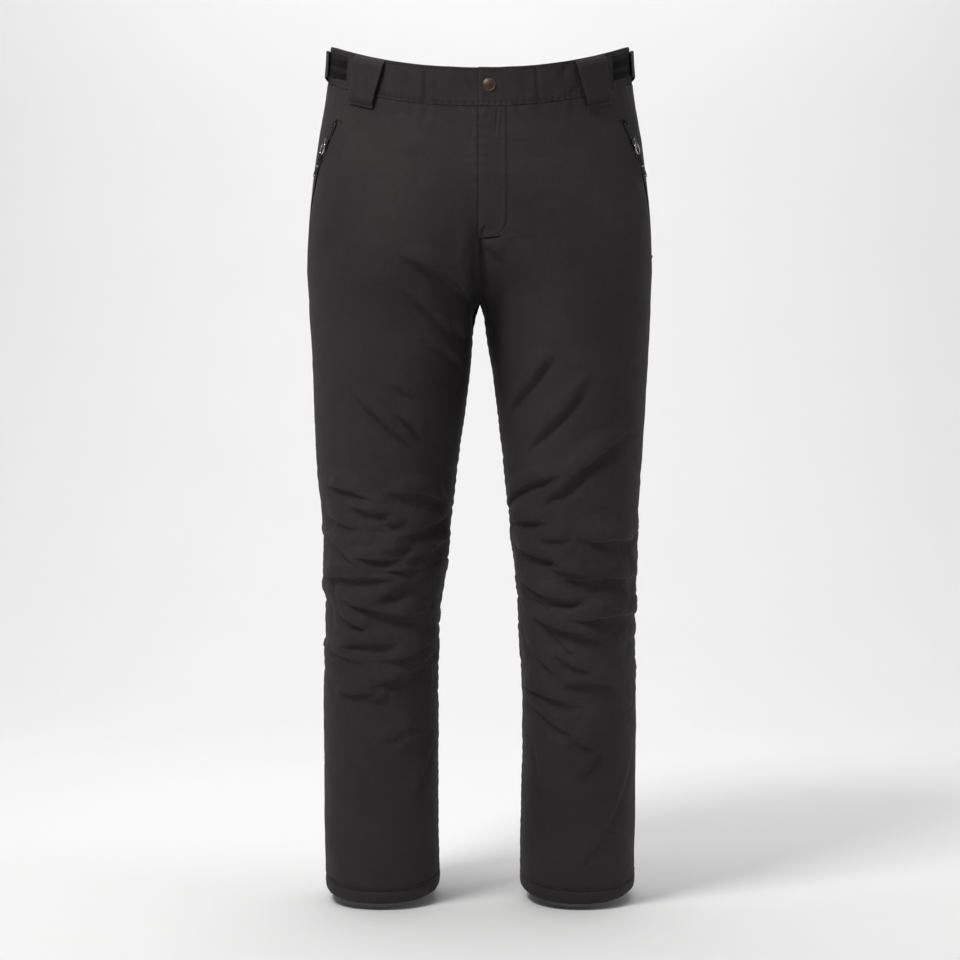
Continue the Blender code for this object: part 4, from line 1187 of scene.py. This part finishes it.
def belt_loop(place, middle, half, lean=0.0, side=1, flare=0.0):
    """A belt loop of this half width, leaning and flaring towards its top."""
    name = f"loop_{place}"

    def edge(level, way):
        width = half + flare * smooth((level + 0.050) / 0.045)
        return middle - lean * level / 0.06 + way * degrees_for(width, level, middle)

    def bump(u, v, base):
        rib = 0.0003 * bell(np.minimum(u, 2 * half - u) - 0.003, 0.0014)
        ends = 0.0004 * bell(np.minimum(v, LOOP_TOP - LOOP_END - v) - 0.0045, 0.001)
        return rib + 0.0004 * noise(base, 0.012, 3) - ends

    ribbon(name, LOOP_LOOK, lambda level: edge(level, -1), lambda level: edge(level, 1), LOOP_TOP,
           LOOP_END, loop_height, 0.0013, step=0.0022, bump=bump, nodes=[f"belt_{name}"],
           side=side, slot="belt_loop_fabric")
    for level, part in ((LOOP_TOP - 0.0043, "top"), (LOOP_END + 0.0040, "foot")):
        angles = np.linspace(float(edge(level, -1)) + 0.6, float(edge(level, 1)) - 0.6, 24)
        stitch_on_skin(f"{name}_stitching_{part}", angles, level, loop_height(0, level) + 0.0001,
                       side=side, pitch=0.0016, length=0.0014, radius=0.0004,
                       slot="belt_loop_fabric")


def make_belt_loops():
    for side, word in SIDES:
        belt_loop(f"front_{word}", 133.4, 0.0188, 3.6, side, 0.0034)
        belt_loop(f"back_{word}", 232.0, 0.011, side=side)
    belt_loop("back_middle", 270.0, 0.011)


def strap_height(angle, level):
    return 0.0018 + 0.0026 * np.minimum((STRAP_BACK - angle) / 25, 1)


def patch_bump(u, v, base):
    return 0.0002 * noise(base, 0.004, 5)


def pile_bump(u, v, base):
    return 0.00025 * noise(base, 0.0016, 5)


def strap_bump(u, v, base):
    """A groove along the strap's two rows of stitches, and a slight wave."""
    rim = np.minimum(v, STRAP_TOP - STRAP_END - v)
    return 0.00035 * noise(base, 0.014, 2) - 0.0004 * bell(rim - 0.0028, 0.0008)


def make_patch(side, word):
    """The loop patch on the garment and the hook pad under the strap."""
    under, above = STRAP_TOP - 0.001, STRAP_END + 0.001
    ribbon(f"patch_{word}", PATCH_LOOK, 147, 180, under, above, 0.0008, 0.0008, step=0.0014,
           bump=patch_bump, nodes=[f"loop_patch_{word}"], side=side, slot="loop_pile")
    for high, low, part in ((-0.0125, -0.0205, "upper"), (-0.0265, -0.0345, "lower")):
        ribbon(f"patch_pile_{part}_{word}", PILE_LOOK, 147.6, 179.4, high, low, 0.0013, 0.0007,
               step=0.0010, bump=pile_bump, side=side, slot="loop_pile")
    ribbon(f"hooks_{word}", HOOK_LOOK, 167, 178, under, above, 0.0028, 0.0012, step=0.002,
           nodes=[f"hook_pad_{word}"], side=side, slot="hook_plastic", body=f"adjuster_{word}")


def make_adjusters():
    """The waist's straps, which bend away from the garment close to their sewn ends."""
    sewn, free = on_skin(STRAP_BACK, -0.02), on_skin(STRAP_BACK - 9, -0.02)
    for side, word in SIDES:
        make_patch(side, word)
        rest = dict(side=side, body=None, slot="strap_fabric")
        pieces = [ribbon(f"strap_{word}", STRAP_LOOK, STRAP_FRONT, STRAP_BACK, STRAP_TOP, STRAP_END,
                         strap_height, 0.0013, step=0.0024, bump=strap_bump,
                         nodes=[f"adjuster_strap_{word}"], **rest)]
        angles = np.linspace(STRAP_FRONT + 1.2, STRAP_BACK - 1.2, 80)
        for level, part in ((STRAP_TOP - 0.0028, "top"), (STRAP_END + 0.0028, "foot")):
            pieces.append(stitch_on_skin(f"strap_stitching_{part}_{word}", angles, level,
                                         strap_height(angles, level) - 0.0002, **rest))
        for made in pieces:
            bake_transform(made)


# ---- the snap, the zips and their pulls ---------------------------------------------------


def skin_frame(angle, level):
    """A frame on the surface, with Z outwards."""
    place = Matrix.Translation(Vector(on_skin(angle, level)))
    out = Vector(outward(angle, level))
    return place @ out.to_track_quat("Z", "Y").to_matrix().to_4x4()


def make_snap():
    """The snap's cap and socket on the tab, its stud on the underlap and a rivet behind it."""
    place = skin_frame(float(angle_at_x(SNAP_X, SNAP_LEVEL)), SNAP_LEVEL)
    dome = [(0, 0.0031), (0.0012, 0.00307), (0.0026, 0.00295), (0.0040, 0.0027), (0.0052, 0.0024),
            (0.0060, 0.0021), (0.0063, 0.0019), (0.0063, 0.0012), (0, 0.0012)]
    rim = [(0.0062, 0.0018), (0.0065, 0.0021), (0.0069, 0.0021), (0.0073, 0.0018),
           (0.0074, 0.0014), (0.0073, 0.0010), (0.0062, 0.0010)]
    socket = [(0.0024, -0.0015), (0.0052, -0.0015), (0.0058, -0.0017), (0.0058, -0.0021),
              (0.0052, -0.0023), (0.0028, -0.0023), (0.0024, -0.0021)]
    stud = [(0, -0.0016), (0.0012, -0.0016), (0.0018, -0.0018), (0.0018, -0.0024),
            (0.0046, -0.0025), (0.0050, -0.0027), (0.0048, -0.0028), (0, -0.0028)]
    rivet = [(0, -0.0048), (0.0034, -0.0048), (0.0040, -0.0050), (0.0040, -0.0053),
             (0.0034, -0.0056), (0, -0.0056)]
    on_tab = dict(body="front_closure")
    bronze, steel = dict(slot="bronze"), dict(slot="bright_steel")
    turned("snap_dome", BRONZE, dome, place, nodes=["snap_cap"], **on_tab, **bronze)
    # The rim takes the paler bronze, a painted highlight round it.
    turned("snap_rim", BRONZE_RIM_HIGHLIGHT, rim, place, **on_tab, **bronze)
    turned("snap_spring", STEEL, socket, place, nodes=["snap_socket"], **on_tab, **steel)
    turned("snap_post", STEEL, stud, place, nodes=["snap_stud"], **steel)
    turned("snap_back", BRONZE, rivet, place, nodes=["snap_rivet"], **bronze)


def pocket_tape(side, word):
    """The pocket zip's ribbed tape, curved as the zip is."""
    length = ZIP_LENGTH + 0.007
    along = -0.004 + length * spread(length, 0.002)
    across = (spread(2 * TAPE_HALF_WIDTH, 0.0011, 0.0004) * 2 - 1) * TAPE_HALF_WIDTH
    centre, spoke, sideways = zip_frame(along)
    base = centre[:, None] + across[None, :, None] * sideways
    normal = np.broadcast_to(spoke[:, None], base.shape)
    rib = np.broadcast_to(0.00012 * np.abs(np.sin(across / 0.0006)), base.shape[:2])
    slab(f"pocket_tape_{word}", TAPE_LOOK, base, normal, -0.0019 + rib, -0.0024,
         weave=weave_of(across[None], along[:, None]), nodes=[f"pocket_zip_tape_{word}"],
         side=side, slot="zip_tape")


def coil(name, centre, ahead, beside, out, nodes, side=1):
    """Two rows of coil turns that mesh in the middle, their bars sloping a little."""
    way = np.where(np.arange(len(centre)) % 2, 1, -1)[:, None]
    bars(name, COIL, centre + beside * way * 0.00095, unit(beside + 0.16 * way * ahead), out,
         0.00135, 0.00058, flat=1.0, side=side, nodes=nodes, slot="zip_teeth")


def pocket_bartacks(side, word):
    """The bars of thread across both ends of the zip."""
    for along, end in ((0.0012, "top"), (ZIP_LENGTH + 0.0012, "foot")):
        centre, spoke, sideways = zip_frame(np.full(9, along))
        steps = np.linspace(-TAPE_HALF_WIDTH, TAPE_HALF_WIDTH, 9)[:, None]
        ahead = unit(zip_frame(along + 0.001)[0] - zip_frame(along)[0])
        bars(f"pocket_bartack_{end}_{word}", THREAD, centre + sideways * steps + spoke * 0.0005,
             np.broadcast_to(ahead, (9, 3)), spoke, 0.0013, 0.0007, side=side, slot="shell_fabric")


def make_pocket_zips():
    centre, spoke, sideways = zip_frame(np.arange(0.0006, ZIP_LENGTH, COIL_PITCH))
    ahead = unit(np.gradient(centre, axis=0))
    for side, word in SIDES:
        pocket_tape(side, word)
        coil(f"pocket_coil_{word}", centre - spoke * 0.0008, ahead, sideways, spoke,
             [f"pocket_zip_teeth_{word}"], side)
        pocket_bartacks(side, word)
        pocket_mark(side, word)
        node = f"pocket_slider_{word}"
        slider = softened(f"pocket_slider_body_{word}", node, GLOSS, 0.00035, node)
        tilt_slider(slider, side)
        make_ring(side, word)
        make_pull(side, word)


def pocket_mark(side, word):
    """The stitched corner above the zip: a short line up the seam and one forwards from its top."""
    thick = dict(lift=0.0004, pitch=0.0014, length=0.0013, radius=0.0006)
    top = POCKET_TOP_LEVEL + 0.004
    levels = np.linspace(top - 0.010, top, 14)
    upright = pocket_angle(levels) - degrees_for(0.0030, levels, 165)
    stitch_on_cloth(f"pocket_mark_upright_{word}", side, upright, levels, **thick)
    forward = np.linspace(0.0030, 0.0125, 12)
    level = top - 0.12 * (forward - 0.003)
    across = pocket_angle(level) - degrees_for(forward, level, 160)
    stitch_on_cloth(f"pocket_mark_top_{word}", side, across, level, **thick)


def slider_frame():
    """The slider's place and directions, turned about the zip to face the way the cloth does."""
    centre, spoke, sideways = zip_frame(SLIDER_START)
    ahead = unit(zip_frame(SLIDER_START + 0.0005)[0] - centre)
    forward = -sideways * np.sign(sideways[1])
    facing = unit(math.cos(SLIDER_TILT) * spoke + math.sin(SLIDER_TILT) * forward)
    return centre, facing, np.cross(ahead, facing), ahead


def tilt_slider(made, side):
    """Turns the slider from the CAD's direction to the one that the cloth faces."""
    centre, facing, _, _ = slider_frame()
    spoke = zip_frame(SLIDER_START)[1]
    turn = Vector(spoke).rotation_difference(Vector(facing)).to_matrix().to_4x4()
    place = Matrix.Translation(Vector(centre))
    mirror = Matrix.Diagonal((side, 1, 1, 1))
    made.data.transform(mirror @ place @ turn @ place.inverted() @ mirror)


def ring_hinge():
    """The point of the slider's bridge that the ring hangs on, and the ring's directions."""
    centre, facing, sideways, ahead = slider_frame()
    return centre + ahead * 0.0005 + facing * 0.0028, facing, sideways, ahead


def make_ring(side, word):
    """The wire ring on the slider."""
    hinge, facing, sideways, ahead = ring_hinge()
    turns = np.arange(40)[:, None] * 2 * math.pi / 40
    wire = hinge + ahead * RING_HALF_LENGTH
    wire = wire + RING_HALF_WIDTH * np.sin(turns) * sideways
    wire = wire - RING_HALF_LENGTH * np.cos(turns) * ahead
    tube(f"pull_ring_{word}", WIRE, wire, 0.0006, facing, closed=True, side=side,
         body=f"pocket_ring_{word}", slot="bright_wire", nodes=[f"pocket_ring_{word}"])


def make_pull(side, word):
    """The pull on the ring: two cords, a moulded grip and two light marks."""
    hinge, facing, sideways, ahead = ring_hinge()
    end = hinge + ahead * 2 * RING_HALF_LENGTH
    rest = dict(side=side, body=f"pocket_pull_{word}", slot="pull_cord")
    t = np.linspace(0, 1, 22)
    bend = np.sin(np.minimum(t / 0.28, 1) * math.pi / 2)
    for way, part, nodes in ((-1, "a", [f"pocket_pull_{word}"]), (1, "b", ())):
        away = way * (0.0007 + 0.0004 * bend)
        line = end + np.outer(-0.0011 + t * STRAND_LENGTH, ahead) + np.outer(away, sideways)
        tube(f"pull_strand_{part}_{word}", PULL_LOOK, line, 0.00085 + 0.00006 * np.sin(t * 90),
             facing, 8, nodes=nodes, **rest)
    t = np.linspace(0, 1, 18)
    shape = 0.0019 + 0.0010 * np.sin(np.clip(t * 1.15, 0, 1) * math.pi / 2)
    shape = shape * np.sqrt(np.clip(1 - ((t - 0.5) / 0.52) ** 8, 0.02, 1))
    line = end + np.outer(GRIP_START + t * GRIP_LENGTH, ahead)
    tube(f"pull_grip_{word}", GRIP_LOOK, line, shape, facing, 16, flat=0.42, **rest)
    rounded = np.array((0.96, 1.0, 1.0, 0.96))
    for where, size, part in ((0.0262, 0.0030, "end"), (0.0148, 0.0026, "neck")):
        line = end + np.outer(where + np.array((-0.0007, -0.0005, 0.0005, 0.0007)), ahead)
        tube(f"pull_mark_{part}_{word}", LIGHT_MARK, line, rounded * size, facing, 16, flat=0.43,
             **rest)


def guard_bump(u, v, base):
    return 0.0003 * noise(base, 0.02, 3)


def fly_coil():
    """The fly's teeth, in a straight line behind the flap."""
    top, foot = (
        on_skin(angle_at_x(FLY_ZIP_X, level), level)
        - outward(angle_at_x(FLY_ZIP_X, level), level) * FLY_CHAIN_DEPTH
        for level in (FLY_CHAIN_TOP, FLY_CHAIN_END)
    )
    count = int(np.linalg.norm(foot - top) / COIL_PITCH)
    centre = top + np.outer((np.arange(count) + 0.5) / count, foot - top)
    out = outward(float(angle_at_x(FLY_ZIP_X, -0.13)), -0.13)
    down = unit(foot - top)
    coil("fly_coil", centre - out * 0.0006, np.broadcast_to(down, centre.shape),
         unit(np.cross(down, out)), np.broadcast_to(out, centre.shape), ["fly_zip_teeth"])


def make_fly_zip():
    fly_coil()
    tapes = (("left", FLY_ZIP_X + 0.0026, 0.030), ("right", -0.014, FLY_ZIP_X - 0.0026))
    for word, left, right in tapes:
        ribbon(f"fly_tape_{word}", TAPE_LOOK, edge_at(left), edge_at(right), FLY_TAPE_TOP,
               FLY_TAPE_END, -FLY_CHAIN_DEPTH, 0.0006, step=0.003,
               nodes=[f"fly_zip_tape_{word}"], slot="zip_tape")
    ribbon("fly_guard", LINING_LOOK, edge_at(-0.018), edge_at(0.034), FLY_TAPE_TOP, FLY_TAPE_END,
           -0.0106, 0.0010, step=0.004, nodes=["fly_shield"], slot="lining_fabric", bump=guard_bump)
    softened("fly_slider_body", "fly_zip_slider", GLOSS, 0.0003, "fly_slider")
    softened("fly_pull_tab", "fly_zip_pull", GLOSS, 0.00015, "fly_slider")


# ---- inside and below ---------------------------------------------------------------------


def make_lining():
    """The quilted lining of each leg, from the waistband down into the gaiter."""
    levels = np.concatenate([np.arange(LINING_TOP, LINING_END, -0.0065), [LINING_END]])
    foot = FLY_END - 0.012
    opening = angle_at_x(fly_edge(levels, 0.046, foot), levels)
    start = np.maximum(np.where(levels > foot, opening, 0), inner_edge(levels) + 0.1)
    end = 360 - inner_edge(levels) - 0.1
    angles = start[:, None] + (end - start)[:, None] * np.linspace(0, 1, 84)
    base, normal = skin_grid(angles, levels)
    normal[..., 0] *= 1 - near_middle(base[..., 0], levels[:, None])
    here, z = arc(angles, levels), base[..., 2]
    quilt = np.abs(np.sin(z / QUILT_HEIGHT * math.pi)) ** 0.45
    quilt = quilt * (0.55 + 0.45 * np.abs(np.sin(here / QUILT_WIDTH * math.pi)) ** 0.5)
    for side, word in SIDES:
        puff = 0.0012 * quilt + 0.0005 * noise(base * (side, 1, 1), 0.03, 4)
        made = slab(f"quilted_lining_{word}", LINING_LOOK, base, normal, -LINING_DEPTH,
                    -LINING_DEPTH - LINING_THICK - puff, weave=weave_of(here * side, z), side=side,
                    slot="lining_fabric", nodes=[f"insulated_lining_{word}"])


def make_pocket_bags():
    """Each pocket's bag, two layers of thin cloth in front of its zip."""
    levels = np.linspace(BAG_TOP, BAG_END, 46)
    front = (pocket_angle(levels) + BAG_START)[:, None]
    angles = front + BAG_TURN * np.linspace(0, 1, 30)[None]
    base, normal = skin_grid(angles, levels)
    ripple = 0.0002 * noise(base, 0.02, 7)
    weave = weave_of(arc(angles, levels), base[..., 2])
    for side, word in SIDES:
        made = slab(f"pocket_lining_{word}", POCKETING, base, normal, -0.0034 + ripple,
                    -0.0042 + ripple, weave=weave, side=side, slot="pocketing",
                    nodes=[f"pocket_bag_{word}"])


def leg_ring(levels, columns):
    """Rows of points round the leg: distance round, points and outward directions."""
    angles = np.broadcast_to(np.arange(columns) * 360 / columns + 1.0, (len(levels), columns))
    return arc(angles, levels), *skin_grid(angles, levels)


# The hem's outline: distance down from its top, and height over the cloth.
HEM_OUTLINE = np.array(
    [(0.0, 0.0006), (0.0010, 0.0003), (0.0022, -0.0007), (0.0034, 0.0002), (0.0060, 0.0008),
     (0.0100, 0.0010), (0.0140, 0.0007), (0.0165, 0.0001), (0.0174, -0.0010), (0.0172, -0.0022),
     (0.0150, -0.0029), (0.0090, -0.0029), (0.0, -0.0029)]
)


def make_hems():
    """The turned-up hem: a soft roll with a row of stitches along its top."""
    down, lift = HEM_OUTLINE[:, :1], HEM_OUTLINE[:, 1:]
    levels = HEM_TOP - HEM_OUTLINE[:, 0]
    here, base, normal = leg_ring(levels, HEM_COLUMNS)
    faces = grid_faces(len(levels), HEM_COLUMNS, True).tolist()
    last = (len(levels) - 1) * HEM_COLUMNS
    for i in range(HEM_COLUMNS):
        n = (i + 1) % HEM_COLUMNS
        faces.append([last + i, i, n, last + n])
    for side, word in SIDES:
        spot = base * (side, 1, 1)
        ripple = 0.0005 * noise(spot * (1, 1, 0.3), 0.013, 5) + 0.0008 * noise(spot, 0.05, 6)
        ripple += 0.00035 * noise(spot * (1, 1, 0.2), 0.0055, 7) * bell(down - 0.003, 0.004)
        points = base + normal * (lift + ripple * (lift > -0.0015))[..., None]
        points[..., 2] += 0.0005 * noise(spot * (1, 1, 0), 0.05, 8) * smooth((down - 0.008) / 0.008)
        weave = weave_of(here * side, base[..., 2], bell(down - 0.0172, 0.0016))
        piece(f"hem_fold_{word}", points, faces, SHELL, weave=weave, side=side,
              nodes=[f"hem_{word}"], slot="shell_fabric")
        stitch_on_skin(f"hem_stitching_{word}", np.linspace(0, 360, 500), HEM_TOP - 0.0024,
                       -0.0003, side=side, slot="shell_fabric")


def make_gaiters():
    """The snow gaiter inside each hem, gathered into an elastic that grips the boot."""
    for side, word in SIDES:
        gaiter_sleeve(side, word)
        gaiter_grip(side, word)
        softened(f"boot_hook_{word}", f"gaiter_hook_{word}", STEEL, 0.0003, "garment")


def gaiter_sleeve(side, word):
    levels = np.linspace(GAITER_TOP, GAITER_END, 46)
    here, base, normal = leg_ring(levels, GAITER_COLUMNS)
    t = ((GAITER_TOP - levels) / (GAITER_TOP - GAITER_END))[:, None]
    spot = base * (side, 1, 1)
    height = (0.2 + 0.8 * t) * 0.0011 * np.sin(here / 0.0032 + 2 * noise(spot, 0.03, 2))
    height += 0.0009 * noise(spot * (1, 1, 0.5), 0.022, 3) - (0.0142 + 0.0078 * t)
    made = slab(f"gaiter_sleeve_{word}", GAITER_LOOK, base, normal, height, height - 0.0004, True,
                weave_of(here * side, base[..., 2]), side=side, slot="gaiter_fabric",
                nodes=[f"gaiter_{word}"])


def gaiter_grip(side, word):
    levels = np.linspace(GAITER_END - 0.0006, GAITER_END - 0.020, 26)
    here, base, normal = leg_ring(levels, GAITER_COLUMNS)
    down = (levels[0] - levels)[:, None]
    middle = 0.0004 * np.sin(here / 0.0016) + 0.00022 * np.sin(down / 0.0007) - 0.0227
    half = 0.0007 * eased(np.minimum(down, 0.0194 - down), 0.0014)
    slab(f"gaiter_grip_{word}", ELASTIC, base, normal, middle + half, middle - half, True,
         weave_of(here * side, base[..., 2]), side=side, slot="elastic",
         nodes=[f"gaiter_elastic_{word}"])


# ---- the studio ---------------------------------------------------------------------------

CAMERA_AWAY, CAMERA_LEVEL, CAMERA_LENS = 2.2, -0.522, 68.1
FLOOR_LEVEL, FLOOR_FRONT, FLOOR_BACK = -1.032, -6, 1.5
COVE_RADIUS, COVE_TOP, COVE_HALF_WIDTH = 1.6, 6, 7


def make_cove():
    """A pale floor that curves up into a wall behind the pants."""
    turns = np.linspace(0.05, math.pi / 2, 16)
    profile = [(FLOOR_FRONT, 0.0), (FLOOR_BACK, 0.0)]
    profile += [
        (FLOOR_BACK + COVE_RADIUS * math.sin(t), COVE_RADIUS - COVE_RADIUS * math.cos(t)) for t in turns
    ]
    profile += [(FLOOR_BACK + COVE_RADIUS, COVE_TOP)]
    points = [
        (x, y, FLOOR_LEVEL + z) for y, z in profile for x in (-COVE_HALF_WIDTH, COVE_HALF_WIDTH)
    ]
    rows = range(0, 2 * len(profile) - 2, 2)
    faces = [(row, row + 1, row + 3, row + 2) for row in rows]
    piece("studio_cove", points, faces, FLOOR, body=None)


def make_camera():
    camera = bpy.data.cameras.new("camera")
    camera.lens = CAMERA_LENS
    camera.sensor_width = 36
    made = bpy.data.objects.new("camera", camera)
    made.location = (0, -CAMERA_AWAY, CAMERA_LEVEL)
    made.rotation_euler = (math.radians(90), 0, 0)
    bpy.context.scene.collection.objects.link(made)
    bpy.context.scene.camera = made


def make_lights():
    area_light("key", (-1.2, -1.35, 1.8), 0.75, 56, (1.0, 1.0, 0.99), (0, 0, -0.2))
    area_light("right_fill", (2.6, -0.9, 0.9), 1.5, 9, (1, 1, 1), (0, 0, -0.3))
    area_light("backdrop_wash", (0, 0.9, 2.6), 3.0, 78, (1, 1, 1), (0, 2.9, 0))
    world = bpy.data.worlds.new("studio")
    world.use_nodes = True
    background = world.node_tree.nodes["Background"]
    background.inputs["Color"].default_value = (1, 1, 1, 1)
    background.inputs["Strength"].default_value = 0.20
    bpy.context.scene.world = world
    bpy.context.scene.view_settings.view_transform = "Standard"


def area_light(name, place, size, power, colour, target):
    light = bpy.data.lights.new(name, "AREA")
    light.size = size
    light.energy = power
    light.color = colour
    made = bpy.data.objects.new(name, light)
    made.location = place
    way = Vector(target) - Vector(place)
    made.rotation_euler = way.to_track_quat("-Z", "Y").to_euler()
    bpy.context.scene.collection.objects.link(made)


make_cove()
make_camera()
make_lights()
make_shell()
make_placket()
stitch_placket()
make_shell_stitching()
make_fly_bartack()
make_waistband()
band_stitching()
make_belt_loops()
make_adjusters()
make_snap()
make_fly_zip()
make_pocket_zips()
make_lining()
make_pocket_bags()
make_hems()
make_gaiters()
